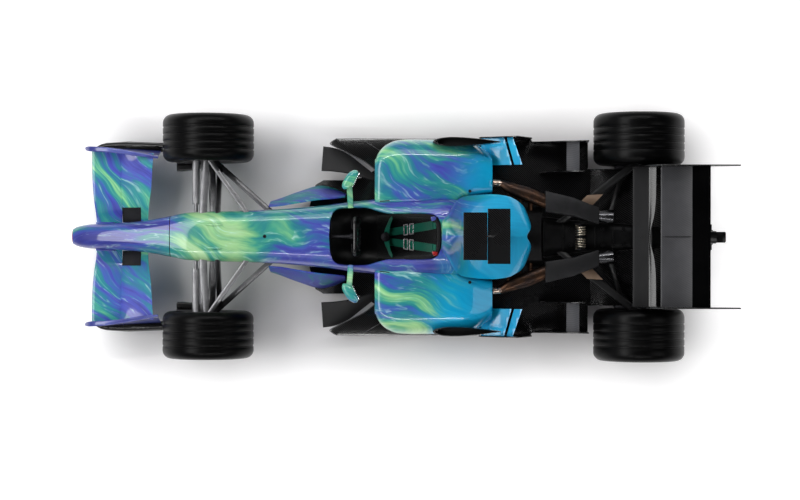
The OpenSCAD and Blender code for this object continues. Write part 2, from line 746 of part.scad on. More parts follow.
module rear_lower_arms() {
    color("#26282c") difference() {
        pair() {
            blade([rx(-440), 80, 240], [rx(-25), rear_track / 2 - 165, 215], 58, 14);
            blade([rx(50), 50, 270], [rx(10), rear_track / 2 - 165, 215], 42, 14);
        }
        gearbox();
        rear_uprights();
    }
}

module rear_pushrods() {
    color("#1d1e21") difference() {
        pair() blade([rx(-116), 445, 220], [rx(-240), 80, 366], 34, 10);
        gearbox();
        rear_lower_arms();
    }
}

module rear_uprights() {
    y = rear_track / 2;
    color("#2b2d31") pair() {
        translate([rx(45), y - 172, 195]) cube([90, 50, 262]);
        translate([rear_axle_x, y - 124, hub_z]) rotate([-90, 0, 0]) cylinder(h = 190, r = axle_r);
        translate([rear_axle_x, y - 110, hub_z]) rotate([-90, 0, 0]) cylinder(h = 28, r = 135);
        translate([rx(-30), y - 214, 300]) cube([50, 50, 120]);
        translate([rx(-70), y - 214, 300]) cube([110, 22, 120]);
    }
}

module driveshafts() {
    color("#8f9298") difference() {
        pair() bar([rear_axle_x, 50, hub_z], [rear_axle_x, rear_track / 2 - 165, hub_z], 17);
        gearbox();
        rear_uprights();
    }
}

module rear_wing_planes() {
    color("#141416") {
        plane(rx(110), 690, rear_main_chord, 24, -22, 14, -rear_span_half, rear_span_half);
        plane(rx(322), 770, rear_flap_chord, 14, -10, 32, -rear_span_half, rear_span_half);
    }
}

module rear_wing_end_plates() {
    color("#141416") pair() side_plate([[rx(-85), 476], [rx(-60), 580], [rx(30), 770], [rx(95), rear_wing_z],
        [rx(rear_overhang), rear_wing_z], [rx(rear_overhang), rear_wing_z - 60], [rx(500), 640],
        [rx(430), 420], [rx(350), step_z + 166 + seam], [rx(120), step_z + 81 + seam],
        [rx(86), step_z + 81 + seam], [rx(86), 476]], rear_span_half, rear_span_half + plate_t);
}

module beam_wing() {
    color("#1b1b1e") {
        plane(rx(-65), 500, beam_chord, 16, -10, 10, -rear_span_half, rear_span_half);
        difference() {
            for (y = [-40, 30]) side_plate([[rx(-40), 380], [rx(40), 380], [rx(45), 512], [rx(-45), 505]], y, y + plate_t);
            gearbox();
        }
    }
}

module crash_structure() {
    collar_t = 14;
    color("#141416") {
        loft([for (p = [[160, 70, 250, 400], [330, 55, 275, 390], [560, 47, 290, 375]])
            section(rx(p[0]), 0, p[1], p[2], (p[2] + p[3]) / 2, p[3], 4, 4)]);
        for (k = [-1, 1]) translate([rx(520), k * 40, 330]) rotate([-90 * k, 0, 0]) {
            cylinder(h = collar_t, r = spigot_r + 8);
            cylinder(h = collar_t + spigot_l, r = spigot_r);
        }
    }
}

module rear_light() {
    color("#c01818") translate([rx(628), -40, 300]) cube([68, 80, 64]);
}

module knuckle_shape() {
    color("#2b2d31") {
        translate([fx(36), kingpin_y - 20, 232]) cube([72, 40, 196]);
        for (z = [190, 420]) translate([fx(0), kingpin_y, z]) cylinder(h = 50, r = kingpin_r);
        translate([front_axle_x, kingpin_y, hub_z]) rotate([-90, 0, 0])
            cylinder(h = front_track / 2 - kingpin_y + 70, r = axle_r);
        translate([front_axle_x, kingpin_y + 40, hub_z]) rotate([-90, 0, 0]) cylinder(h = 28, r = 135);
        translate([fx(20), kingpin_y - 14, rack_z - 40]) cube([steer_arm + 34, 28, 20]);
        translate([fx(-steer_arm), kingpin_y, rack_z - 25]) cylinder(h = 42, r = 6);
        translate([fx(30), kingpin_y - 46, 270]) cube([60, 40, 100]);
        translate([fx(-20), kingpin_y - 46, 270]) cube([210, 8, 70]);
        for (z = [272, 301, 330]) translate([fx(-108), kingpin_y - 95, z]) cube([120, 53, 6]);
    }
}

module knuckle_left() {
    knuckle_shape();
}

module knuckle_right() {
    mirror([0, 1, 0]) knuckle_shape();
}

module steering_rack() {
    color("#b8bcc4") {
        translate([fx(-steer_arm), 0, rack_z]) rotate([90, 0, 0]) cylinder(h = 480, r = rack_r, center = true);
        pair() difference() {
            union() {
                blade([fx(-steer_arm), 232, rack_z], [fx(-steer_arm), kingpin_y - 16, rack_z], 56, 16);
                translate([fx(-steer_arm), kingpin_y, rack_z - 10]) cylinder(h = 20, r = 22);
            }
            translate([fx(-steer_arm), kingpin_y, rack_z - 50]) cylinder(h = 100, r = 13);
        }
    }
}

module steering_wheel() {
    color("#1a1a1c") {
        column_path(column_r, 200);
        translate([fx(column_s), 0, column_z]) rotate([0, 90 + column_tilt, 0]) translate([0, 0, -34]) {
            linear_extrude(height = 34) polygon([[-62, -70], [-62, 70], [58, 70], [58, -70]]);
            for (k = [-1, 1]) translate([0, k * (hand_wheel_w / 2 - 20), 0])
                translate([-70, -20, 0]) cube([140, 40, 34]);
            for (x = [-50, 40]) translate([x, -hand_wheel_w / 2 + 10, 6]) cube([22, hand_wheel_w - 20, 22]);
        }
    }
}

module tyre_shape(w) {
    h = w / 2;
    color("#1c1c1e") rotate([90, 0, 0]) rotate_extrude() difference() {
        union() {
            translate([rim_r, -h + 10]) square([hub_z - rim_r - shoulder_r, w - 20]);
            translate([rim_r, -h + shoulder_r]) square([hub_z - rim_r, w - 2 * shoulder_r]);
            for (k = [-1, 1]) translate([hub_z - shoulder_r, k * (h - shoulder_r)]) circle(r = shoulder_r);
            for (k = [-1, 1]) translate([hub_z - shoulder_r - 42, k * (h - shoulder_r)]) circle(r = shoulder_r);
        }
        for (k = [-1.5 : 1 : 1.5]) translate([hub_z - groove_depth, k * groove_pitch - groove_w / 2])
            square([groove_depth + 1, groove_w]);
    }
}

module rim_shape(w, side) {
    h = w / 2;
    face = h - 70;
    color("#3a3c40") mirror([0, side < 0 ? 1 : 0, 0]) rotate([-90, 0, 0]) difference() {
        union() {
            rotate_extrude() {
                translate([rim_r - 12, -h + 22]) square([12, w - 44]);
                translate([0, face - 75]) square([52, 75]);
                translate([rim_r - 22, face - 30]) square([14, 30]);
            }
            for (i = [0 : spokes - 1]) rotate([0, 0, 360 * i / spokes])
                translate([46, -11, face - 26]) cube([rim_r - 60, 22, 22]);
            translate([0, 0, face - 1]) cylinder(h = 28, r = 34, $fn = 6);
        }
        translate([0, 0, -h]) cylinder(h = h + face - 20, r = axle_r + play);
    }
}

module at_wheel(front, side) {
    translate([front ? front_axle_x : rear_axle_x, side * (front ? front_track : rear_track) / 2, hub_z])
        children();
}

module rim_front_left() {
    at_wheel(true, 1) rim_shape(front_tyre_w, 1);
}

module rim_front_right() {
    at_wheel(true, -1) rim_shape(front_tyre_w, -1);
}

module rim_rear_left() {
    at_wheel(false, 1) rim_shape(rear_tyre_w, 1);
}

module rim_rear_right() {
    at_wheel(false, -1) rim_shape(rear_tyre_w, -1);
}

module tyre_front_left() {
    at_wheel(true, 1) tyre_shape(front_tyre_w);
}

module tyre_front_right() {
    at_wheel(true, -1) tyre_shape(front_tyre_w);
}

module tyre_rear_left() {
    at_wheel(false, 1) tyre_shape(rear_tyre_w);
}

module tyre_rear_right() {
    at_wheel(false, -1) tyre_shape(rear_tyre_w);
}

nose_cone();
front_wing_main();
front_wing_flaps();
front_wing_end_plates();
front_wing_pylons();
monocoque();
cockpit_tub();
roll_hoop();
seat();
belts();
mirrors();
sidepod_left();
sidepod_right();
radiators();
chimneys();
bargeboards();
deflectors();
flip_ups();
floor();
plank();
diffuser();
engine_cover();
cover_winglet();
engine_block();
exhausts();
heat_shields();
tailpipes();
gearbox();
coil_springs();
front_upper_arms();
front_lower_arms();
front_pushrods();
rear_upper_arms();
rear_lower_arms();
rear_pushrods();
rear_uprights();
driveshafts();
rear_wing_planes();
rear_wing_end_plates();
beam_wing();
crash_structure();
rear_light();
knuckle_left();
knuckle_right();
steering_rack();
steering_wheel();
rim_front_left();
rim_front_right();
rim_rear_left();
rim_rear_right();
tyre_front_left();
tyre_front_right();
tyre_rear_left();
tyre_rear_right();
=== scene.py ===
"""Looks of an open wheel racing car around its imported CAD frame.

Painted panels are drawn again as smooth skins from the section tables of the solids, mechanical
pieces are refined copies of their CAD nodes, and every surface gets a procedural finish. Tables are
in millimetres, with stations s behind the front axle and r behind the rear axle. Meshes are in
metres: +X forward, +Y left, +Z up.
"""

from __future__ import annotations

import logging
import math
from dataclasses import dataclass
from enum import Enum
from typing import Callable, Sequence

import bmesh
import bpy
from mathutils import Matrix, Vector

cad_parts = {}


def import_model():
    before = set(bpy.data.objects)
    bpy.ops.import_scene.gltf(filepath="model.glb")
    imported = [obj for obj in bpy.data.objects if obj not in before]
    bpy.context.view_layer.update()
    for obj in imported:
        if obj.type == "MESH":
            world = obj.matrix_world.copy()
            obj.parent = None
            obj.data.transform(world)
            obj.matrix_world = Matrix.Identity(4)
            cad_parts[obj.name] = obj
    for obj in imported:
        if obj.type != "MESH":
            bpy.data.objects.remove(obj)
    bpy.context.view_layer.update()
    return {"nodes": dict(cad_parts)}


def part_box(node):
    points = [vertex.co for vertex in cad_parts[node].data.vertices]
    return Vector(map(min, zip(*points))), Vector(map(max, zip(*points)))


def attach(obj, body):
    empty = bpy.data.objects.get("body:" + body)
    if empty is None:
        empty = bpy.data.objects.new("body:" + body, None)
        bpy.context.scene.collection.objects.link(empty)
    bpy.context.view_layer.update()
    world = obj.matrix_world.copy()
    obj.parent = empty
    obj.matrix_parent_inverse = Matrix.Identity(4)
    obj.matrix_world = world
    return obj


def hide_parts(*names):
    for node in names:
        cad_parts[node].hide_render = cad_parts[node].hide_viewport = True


MM = 0.001
IMAGE_SIZE = (800, 500)
CHASSIS = "chassis"
# distances in metres at which vertices are joined or slivers dissolved
WELD, CAD_WELD, SLIVER = 1e-6, 2e-5, 1e-7
# faces of a CAD copy that meet under this angle, in degrees, become one
FLAT_DEG = 0.6

Mesh = bmesh.types.BMesh
Ring = list[Vector]
Row = Sequence[float]
Colour = tuple[float, float, float]

UP, LEFTWARD = Vector((0, 0, 1)), Vector((0, 1, 0))

log = logging.getLogger("racing_car")


# Shader maths


def even(scale: float) -> tuple[float, float, float]:
    """The same scale on all three axes."""
    return (scale, scale, scale)


class Socket:
    """One output socket of a shader node; operators on it add Math nodes."""

    def __init__(self, graph: "Graph", link: bpy.types.NodeSocket) -> None:
        """Keeps the graph and the socket that it wraps."""
        self.graph = graph
        self.link = link

    def __add__(self, other: "Socket | float") -> "Socket":
        """Sum."""
        return self.graph.math("ADD", self, other)

    def __sub__(self, other: "Socket | float") -> "Socket":
        """Difference."""
        return self.graph.math("SUBTRACT", self, other)

    def __rsub__(self, other: float) -> "Socket":
        """Difference from a number."""
        return self.graph.math("SUBTRACT", other, self)

    def __mul__(self, other: "Socket | float") -> "Socket":
        """Product."""
        return self.graph.math("MULTIPLY", self, other)

    def __truediv__(self, other: "Socket | float") -> "Socket":
        """Quotient."""
        return self.graph.math("DIVIDE", self, other)

    def __pow__(self, other: float) -> "Socket":
        """Power."""
        return self.graph.math("POWER", self, other)

    def __mod__(self, other: float) -> "Socket":
        """Remainder, never below zero."""
        return self.graph.math("FLOORED_MODULO", self, other)

    def __lt__(self, other: "Socket | float") -> "Socket":
        """One where the value is below the other, else zero."""
        return self.graph.math("LESS_THAN", self, other)

    def __abs__(self) -> "Socket":
        """Size without sign."""
        return self.graph.math("ABSOLUTE", self)

    def floor(self) -> "Socket":
        """Whole number below."""
        return self.graph.math("FLOOR", self)

    def beyond(self, edge: float) -> "Socket":
        """How far the size of the value passes an edge, squared."""
        return self.graph.math("MAXIMUM", abs(self) - edge, 0.0) ** 2.0

    def between(self, low: float, high: float) -> "Socket":
        """Smooth step from 0 at low to 1 at high."""
        settings = {"interpolation_type": "SMOOTHSTEP"}
        inputs = {"Value": self, "From Min": low, "From Max": high}
        return self.graph.node("ShaderNodeMapRange", settings, inputs)


class Graph:
    """The node tree of one material or world."""

    def __init__(self, owner: bpy.types.Material | bpy.types.World) -> None:
        """Empties the owner's node tree."""
        owner.use_nodes = True
        self.tree = owner.node_tree
        self.tree.nodes.clear()

    def node(self, kind: str, settings: dict | None = None, inputs: dict | None = None,
             out: int | str = 0) -> Socket:
        """Adds a node.

        Args:
            kind: Blender's node type.
            settings: attributes set first; "stops" fills a colour ramp.
            inputs: values or links by socket name or number.
            out: the output that is returned.

        Returns:
            The wrapped output, or the wrapped first input of a node without outputs.
        """
        made = self.tree.nodes.new(kind)
        for key, value in (settings or {}).items():
            if key == "stops":
                marks, ends = made.color_ramp.elements, {0.0: 0, 1.0: -1}
                for place, colour in value:
                    stop = marks[ends[place]] if place in ends else marks.new(place)
                    stop.color = (*colour, 1.0)
            else:
                setattr(made, key, value)
        for key, value in (inputs or {}).items():
            socket = made.inputs[key]
            if isinstance(value, Socket):
                self.tree.links.new(value.link, socket)
            elif isinstance(value, tuple) and len(value) == 3 and socket.type == "RGBA":
                socket.default_value = (*value, 1.0)
            else:
                socket.default_value = value
        return Socket(self, made.outputs[out] if made.outputs else made.inputs[0])

    def math(self, operation: str, *values: Socket | float) -> Socket:
        """Adds a Math node on the values."""
        return self.node("ShaderNodeMath", {"operation": operation}, dict(enumerate(values)))

    def vector(self, operation: str, *values: Socket | tuple) -> Socket:
        """Adds a Vector Math node on the values."""
        return self.node("ShaderNodeVectorMath", {"operation": operation}, dict(enumerate(values)))

    def mix(self, factor: Socket | float, first: Socket | Colour, second: Socket | Colour,
            blend: str = "MIX") -> Socket:
        """Mixes two colours by a factor."""
        settings = {"data_type": "RGBA", "blend_type": blend}
        return self.node("ShaderNodeMix", settings, {0: factor, 6: first, 7: second}, 2)

    def place(self) -> Socket:
        """Object coordinates, in metres."""
        return self.node("ShaderNodeTexCoord", out="Object")

    def axes(self, vector: Socket) -> tuple[Socket, Socket, Socket]:
        """The three numbers of a vector."""
        parts = self.node("ShaderNodeSeparateXYZ", None, {"Vector": vector})
        return tuple(Socket(self, link) for link in parts.link.node.outputs)

    def noise(self, vector: Socket, scale: float, detail: float = 3.0, rough: float = 0.5,
              out: str = "Fac") -> Socket:
        """Noise texture at a vector."""
        inputs = {"Vector": vector, "Scale": scale, "Detail": detail, "Roughness": rough}
        return self.node("ShaderNodeTexNoise", None, inputs, out)

    def stretched(self, vector: Socket, scale: tuple[float, float, float]) -> Socket:
        """The vector times a scale on each axis."""
        return self.vector("MULTIPLY", vector, scale)

    def warped(self, vector: Socket, scale: float, amount: float, detail: float = 2.0) -> Socket:
        """The vector pushed about by noise."""
        noise = self.noise(vector, scale, detail, 0.5, "Color")
        swirl = self.vector("SUBTRACT", noise, even(0.5))
        return self.vector("ADD", vector, self.vector("MULTIPLY", swirl, even(amount)))

    def ramp(self, factor: Socket, stops: Sequence[tuple[float, Colour]]) -> Socket:
        """Colour ramp."""
        return self.node("ShaderNodeValToRGB", {"stops": stops}, {"Fac": factor}, "Color")

    def bump(self, height: Socket, distance: float, strength: float = 1.0) -> Socket:
        """Normal bent by a height in metres times distance."""
        inputs = {"Height": height, "Distance": distance, "Strength": strength}
        return self.node("ShaderNodeBump", None, inputs, "Normal")

    def surface(self, inputs: dict) -> None:
        """Ends the graph in a Principled shader with these inputs."""
        shader = self.node("ShaderNodeBsdfPrincipled", None, inputs)
        self.node("ShaderNodeOutputMaterial", None, {"Surface": shader})


# Finishes


@dataclass(frozen=True)
class Finish:
    """A surface finish with the record's material slot that it belongs to."""

    name: str
    slot: str

    def material(self) -> bpy.types.Material:
        """The finish's material, made once."""
        label = self.name + "_finish"
        found = bpy.data.materials.get(label)
        if found is None:
            found = bpy.data.materials.new(label)
            self.shade(Graph(found))
        return found

    def shade(self, g: Graph) -> None:
        """Builds the node tree."""
        raise NotImplementedError


# tone of the ribbons against their colour
RIBBON_STOPS = (
    (0.0, (0.022, 0.024, 0.180)), (0.38, (0.046, 0.052, 0.330)), (0.47, (0.066, 0.085, 0.460)),
    (0.515, (0.046, 0.140, 0.420)), (0.55, (0.026, 0.200, 0.310)), (0.60, (0.028, 0.280, 0.290)),
    (0.65, (0.060, 0.380, 0.270)), (0.70, (0.190, 0.540, 0.270)), (0.77, (0.380, 0.700, 0.320)),
    (1.0, (0.60, 0.84, 0.52)))
# stretches of x, in metres, where the ribbons turn lime or belong to the nose
LIME_FROM, LIME_TO, NOSE_FROM = (0.95, 1.2), (1.44, 1.7), (1.5, 1.75)


@dataclass(frozen=True)
class RibbonPaint(Finish):
    """Clear-coated paint: brushed ribbons that stream along the car and end in plain cyan."""

    tail_x: float = -0.62
    tail_fade: float = 0.3
    lift: float = 0.0
    drift: float = 0.25
    gain: float = 1.0
    coat: float = 1.0
    specular: float = 0.3

    def shade(self, g: Graph) -> None:
        """Builds the node tree."""
        place = g.place()
        x, y, z = g.axes(place)
        swell = g.noise(g.stretched(place, (0.8, 1.3, 1.0)), 1.3, 2.0) - 0.5
        lane = y + z * 0.55 + x * self.drift + swell * 0.75
        flow = g.node("ShaderNodeCombineXYZ", None, {0: x * 0.62, 1: lane * 2.6, 2: z * 0.5})
        broad = g.noise(flow, 2.3, 4.0, 0.55)
        brush = g.node("ShaderNodeCombineXYZ", None, {0: x * 3.2, 1: lane * 34.0, 2: z * 3.0})
        bristles = g.noise(brush, 1.0, 4.0, 0.65)
        lime_zone = x.between(*LIME_FROM) * (1.0 - x.between(*LIME_TO))
        nose_zone = x.between(*NOSE_FROM)
        tone = broad + (bristles - 0.5) * 0.15 + lime_zone * 0.2 - nose_zone * 0.02 + self.lift
        ribbons = g.ramp(tone, RIBBON_STOPS)
        thin, thick = (0.72, 0.74, 0.80), (1.22, 1.22, 1.18)
        low, high = (tuple(v * self.gain for v in stroke) for stroke in (thin, thick))
        shade = g.mix((bristles - 0.5) * 1.3 + 0.5, low, high)
        painted = g.mix(0.9, ribbons, shade, "MULTIPLY")
        edge = 1.0 - abs(g.noise(flow, 5.5, 3.0, 0.5) * 2.0 - 1.0)
        threads = edge.between(0.93, 1.0) * bristles.between(0.46, 0.7) * 0.6
        painted = g.mix(threads, painted, (0.55, 0.86, 0.84))
        slant = x - y * 0.28 + (broad - 0.5) * 0.5 + (bristles - 0.5) * 0.12
        tail = 1.0 - slant.between(self.tail_x, self.tail_x + self.tail_fade)
        cyan = g.mix(bristles.between(0.3, 0.7), (0.0, 0.42, 0.78), (0.004, 0.50, 0.86))
        peel = g.noise(place, 420.0, 1.0)
        g.surface({
            "Base Color": g.mix(tail, painted, cyan), "Roughness": bristles * 0.12 + 0.26,
            "Coat Weight": self.coat, "Coat Roughness": 0.04, "Specular IOR Level": self.specular,
            "Normal": g.bump(peel, 0.00005)})


@dataclass(frozen=True)
class GlossPaint(Finish):
    """Clear-coated paint of one hue with slow colour drift and orange peel."""

    colour: Colour = (0.0, 0.4, 0.75)
    shadow: Colour = (0.0, 0.3, 0.65)
    coat: float = 1.0
    roughness: float = 0.3
    specular: float = 0.4

    def shade(self, g: Graph) -> None:
        """Builds the node tree."""
        place = g.place()
        drift = g.noise(g.warped(place, 2.0, 0.3), 3.2, 4.0, 0.6)
        streak = g.noise(g.stretched(place, (6.0, 60.0, 60.0)), 1.0, 3.0)
        blend = drift.between(0.35, 0.65) * 0.8 + (streak - 0.5) * 0.5
        colour = g.mix(blend, self.shadow, self.colour)
        g.surface({
            "Base Color": colour, "Roughness": streak * 0.12 + self.roughness - 0.06,
            "Coat Weight": self.coat, "Coat Roughness": 0.04, "Specular IOR Level": self.specular,
            "Normal": g.bump(g.noise(place, 400.0, 1.0), 0.00006)})


@dataclass(frozen=True)
class CarbonWeave(Finish):
    """Black carbon fibre in a two over two twill under lacquer."""

    tow: float = 0.004
    dark: float = 0.0015
    light: float = 0.0045
    roughness: float = 0.26
    coat: float = 0.5
    specular: float = 0.35

    def shade(self, g: Graph) -> None:
        """Builds the node tree."""
        place = g.place()
        x, y, z = g.axes(place)
        across = (x + z * 0.7) / self.tow
        along = (y + z * 0.7) / self.tow
        over = ((across.floor() + along.floor()) % 4.0) < 1.5
        strand = abs((across % 1.0) - 0.5) * over + abs((along % 1.0) - 0.5) * (1.0 - over)
        cloud = g.noise(place, 5.0, 4.0, 0.6)
        shade = over * (self.light - self.dark) + self.dark + (cloud - 0.5) * self.dark
        tint = g.node("ShaderNodeCombineColor", None, {0: shade, 1: shade, 2: shade * 1.08})
        g.surface({
            "Base Color": tint, "Roughness": over * 0.06 + cloud * 0.1 + self.roughness - 0.08,
            "Coat Weight": self.coat, "Coat Roughness": 0.06, "Specular IOR Level": self.specular,
            "Normal": g.bump(strand, -0.00004, 0.5)})


@dataclass(frozen=True)
class Metal(Finish):
    """Bare metal with a grain along one axis and a second tint in clouds."""

    colour: Colour = (0.6, 0.6, 0.62)
    tint: Colour = (0.5, 0.5, 0.52)
    roughness: float = 0.3
    grain: tuple[float, float, float] = (300.0, 8.0, 300.0)
    metallic: float = 1.0
    relief: float = 0.00004

    def shade(self, g: Graph) -> None:
        """Builds the node tree."""
        place = g.place()
        lines = g.noise(g.stretched(place, self.grain), 1.0, 3.0, 0.6)
        cloud = g.noise(g.warped(place, 6.0, 0.08), 9.0, 5.0, 0.6)
        colour = g.mix(cloud.between(0.38, 0.64), self.colour, self.tint)
        g.surface({
            "Base Color": g.mix(lines * 0.5, colour, self.tint), "Metallic": self.metallic,
            "Roughness": lines * 0.2 + cloud * 0.15 + self.roughness - 0.14,
            "Normal": g.bump(lines, self.relief)})


@dataclass(frozen=True)
class TyreRubber(Finish):
    """Black racing rubber, scuffed in lines round the tread."""

    def shade(self, g: Graph) -> None:
        """Builds the node tree."""
        place = g.place()
        scuffs = g.noise(g.stretched(place, (5.0, 420.0, 5.0)), 1.0, 4.0, 0.7)
        dust = g.noise(place, 14.0, 5.0, 0.65)
        pebble = g.noise(place, 900.0, 2.0)
        tone = scuffs.between(0.45, 0.75) * 0.6 + dust.between(0.5, 0.8) * 0.4
        g.surface({
            "Base Color": g.mix(tone, (0.0008, 0.0008, 0.0009), (0.0034, 0.0033, 0.0034)),
            "Roughness": scuffs * 0.16 + dust * 0.12 + 0.2, "Specular IOR Level": 0.12,
            "Normal": g.bump(pebble * 0.3 + scuffs, 0.0002, 0.5)})


@dataclass(frozen=True)
class Webbing(Finish):
    """Woven belt strap with ribs along it and a cross weave."""

    colour: Colour = (0.012, 0.32, 0.20)
    dark: Colour = (0.004, 0.13, 0.085)
    rib: float = 0.0042

    def shade(self, g: Graph) -> None:
        """Builds the node tree."""
        place = g.place()
        x, y, z = g.axes(place)
        along = (x - z) / (self.rib * 0.6)
        ribs = abs((y / self.rib) % 1.0 - 0.5) * 2.0
        weave = abs(along % 1.0 - 0.5) * 2.0
        threads = ribs * 0.6 + weave * 0.4
        wear = g.noise(place, 60.0, 4.0, 0.6)
        g.surface({
            "Base Color": g.mix(threads * 0.7 + wear * 0.4 - 0.05, self.dark, self.colour),
            "Roughness": wear * 0.2 + 0.62, "Sheen Weight": 0.25, "Specular IOR Level": 0.25,
            "Normal": g.bump(threads, 0.0005, 0.8)})


@dataclass(frozen=True)
class SeatCloth(Finish):
    """Black quilted flame-proof cloth."""

    quilt: float = 0.036

    def shade(self, g: Graph) -> None:
        """Builds the node tree."""
        place = g.place()
        x, y, z = g.axes(place)
        run = (x - z) * 0.7
        first = abs(((run + y) / self.quilt) % 1.0 - 0.5)
        second = abs(((run - y) / self.quilt) % 1.0 - 0.5)
        seam = 1.0 - first.between(0.0, 0.12) * second.between(0.0, 0.12)
        weave = g.noise(g.stretched(place, (1.0, 2.2, 1.0)), 700.0, 2.0)
        shade = g.mix(seam * 0.7 + (weave - 0.5), (0.010, 0.010, 0.011), (0.003, 0.003, 0.003))
        g.surface({
            "Base Color": shade, "Roughness": weave * 0.16 + 0.72, "Sheen Weight": 0.1,
            "Specular IOR Level": 0.2, "Normal": g.bump(weave * 0.15 - seam, 0.0016, 0.8)})


@dataclass(frozen=True)
class RadiatorCore(Finish):
    """Fine fins and tubes of a water radiator."""

    def shade(self, g: Graph) -> None:
        """Builds the node tree."""
        place = g.place()
        _, y, z = g.axes(place)
        fins = abs((y / 0.003) % 1.0 - 0.5) * 2.0
        tubes = ((z / 0.012) % 1.0) < 0.3
        g.surface({
            "Base Color": g.mix(fins * 0.6 + tubes * 0.4, (0.02, 0.02, 0.022), (0.16, 0.165, 0.17)),
            "Metallic": 0.8, "Roughness": fins * 0.2 + 0.35,
            "Normal": g.bump(fins + tubes, 0.0006)})


@dataclass(frozen=True)
class PlankWood(Finish):
    """Pressed beech of the skid block, with its grain along the car."""

    def shade(self, g: Graph) -> None:
        """Builds the node tree."""
        place = g.place()
        grain = g.noise(g.stretched(g.warped(place, 3.0, 0.02), (3.0, 90.0, 90.0)), 1.0, 5.0, 0.65)
        wear = g.noise(place, 4.0, 4.0)
        colour = g.mix(grain, (0.10, 0.065, 0.035), (0.30, 0.21, 0.12))
        g.surface({
            "Base Color": g.mix(wear.between(0.5, 0.75) * 0.5, colour, (0.05, 0.045, 0.04)),
            "Roughness": grain * 0.25 + 0.5, "Normal": g.bump(grain, 0.0003)})


@dataclass(frozen=True)
class LampLens(Finish):
    """Red ribbed lens of the rain light."""

    def shade(self, g: Graph) -> None:
        """Builds the node tree."""
        _, y, z = g.axes(g.place())
        cells = abs((y / 0.012) % 1.0 - 0.5) + abs((z / 0.012) % 1.0 - 0.5)
        g.surface({
            "Base Color": g.mix(cells, (0.36, 0.006, 0.006), (0.16, 0.002, 0.002)),
            "Roughness": cells * 0.1 + 0.12, "Coat Weight": 1.0, "Coat Roughness": 0.03,
            "Normal": g.bump(cells, 0.001)})


@dataclass(frozen=True)
class MirrorGlass(Finish):
    """Silvered mirror glass with faint smears."""

    def shade(self, g: Graph) -> None:
        """Builds the node tree."""
        smear = g.noise(g.stretched(g.place(), (20.0, 20.0, 60.0)), 1.0, 4.0)
        g.surface({
            "Base Color": g.mix(smear * 0.3, (0.86, 0.88, 0.9), (0.7, 0.72, 0.74)), "Metallic": 1.0,
            "Roughness": smear * 0.06 + 0.02})


@dataclass(frozen=True)
class StudioFloor(Finish):
    """White studio floor that keeps the car's shadow and glows away from it; the glow fading out
    near the car paints extra shade there.
    """

    # half length and half width of the box round the car where the glow is held back, painting
    # shade over the real shadow, its shift in y and the fade round it, in metres
    shadow: tuple[float, float] = (1.85, 0.62)
    shift: float = 0.04
    fade: tuple[float, float] = (0.02, 0.62)
    glow: float = 0.74

    def shade(self, g: Graph) -> None:
        """Builds the node tree."""
        path = g.node("ShaderNodeLightPath")
        outputs = path.link.node.outputs
        seen = Socket(g, outputs["Is Camera Ray"]) + Socket(g, outputs["Is Glossy Ray"])
        x, y, _ = g.axes(g.place())
        long, wide = self.shadow
        # painted shade: the glow fades out towards the car
        beyond_painted_shade = ((x.beyond(long) + (y - self.shift).beyond(wide)) ** 0.5).between(*self.fade)
        shown = (seen + Socket(g, outputs["Is Transmission Ray"])) * (beyond_painted_shade * self.glow)
        # the floor's own colour is grey, so the shade near the car, where the glow is held back, is
        # partly painted
        diffuse = g.node("ShaderNodeBsdfDiffuse", None, {"Color": (0.77, 0.757, 0.76)})
        glow = g.node("ShaderNodeEmission", None, {"Color": (1.0, 1.0, 1.0), "Strength": shown})
        both = g.node("ShaderNodeAddShader", None, {0: diffuse, 1: glow})
        g.node("ShaderNodeOutputMaterial", None, {"Surface": both})


LIVERY = RibbonPaint("ribbon_livery", "livery_blue")
POD_LIVERY = RibbonPaint("ribbon_pod_livery", "livery_teal", tail_x=-0.58, tail_fade=0.34,
                         lift=0.11, gain=1.12)
BOARD_LIVERY = RibbonPaint("ribbon_board_livery", "livery_blue", gain=1.1, coat=0.0, specular=0.08)
WING_LIVERY = RibbonPaint("ribbon_wing_livery", "livery_blue", lift=0.06, drift=1.1, gain=1.35)
CYAN = GlossPaint("cyan_paint", "livery_cyan", (0.010, 0.52, 0.86), (0.0, 0.40, 0.76))
INDIGO = GlossPaint("indigo_paint", "end_plate_blue", (0.10, 0.13, 0.48), (0.05, 0.06, 0.30))
RED = GlossPaint("red_paint", "light_red", (0.55, 0.02, 0.02), (0.42, 0.012, 0.015))
SILVER = Metal("silver_blades", "silver_paint", (0.36, 0.36, 0.37), (0.25, 0.25, 0.26),
               roughness=0.4, grain=(260.0, 3.0, 260.0))
GUNMETAL = Metal("dark_blades", "carbon", (0.21, 0.21, 0.215), (0.13, 0.13, 0.135), roughness=0.34,
                 grain=(120.0, 6.0, 120.0))
CARBON = CarbonWeave("black_carbon", "carbon")
SATIN_CARBON = CarbonWeave("satin_carbon", "carbon", dark=0.003, light=0.005, roughness=0.3,
                           coat=0.4)
SOFT_CARBON = CarbonWeave("soft_carbon", "carbon", dark=0.010, light=0.013, roughness=0.5, coat=0.0)
BLACK_PAINT = GlossPaint("black_paint", "carbon", (0.0024, 0.0024, 0.0026),
                         (0.0014, 0.0014, 0.0016), coat=0.0, roughness=0.5, specular=0.0)
# painted sheen: a grey copy of the black carbon that stands in for the light the rear main plane
# catches
SHEEN_PLANE_CARBON = CarbonWeave("plane_carbon", "carbon", dark=0.048, light=0.060, roughness=0.4,
                           coat=0.6)
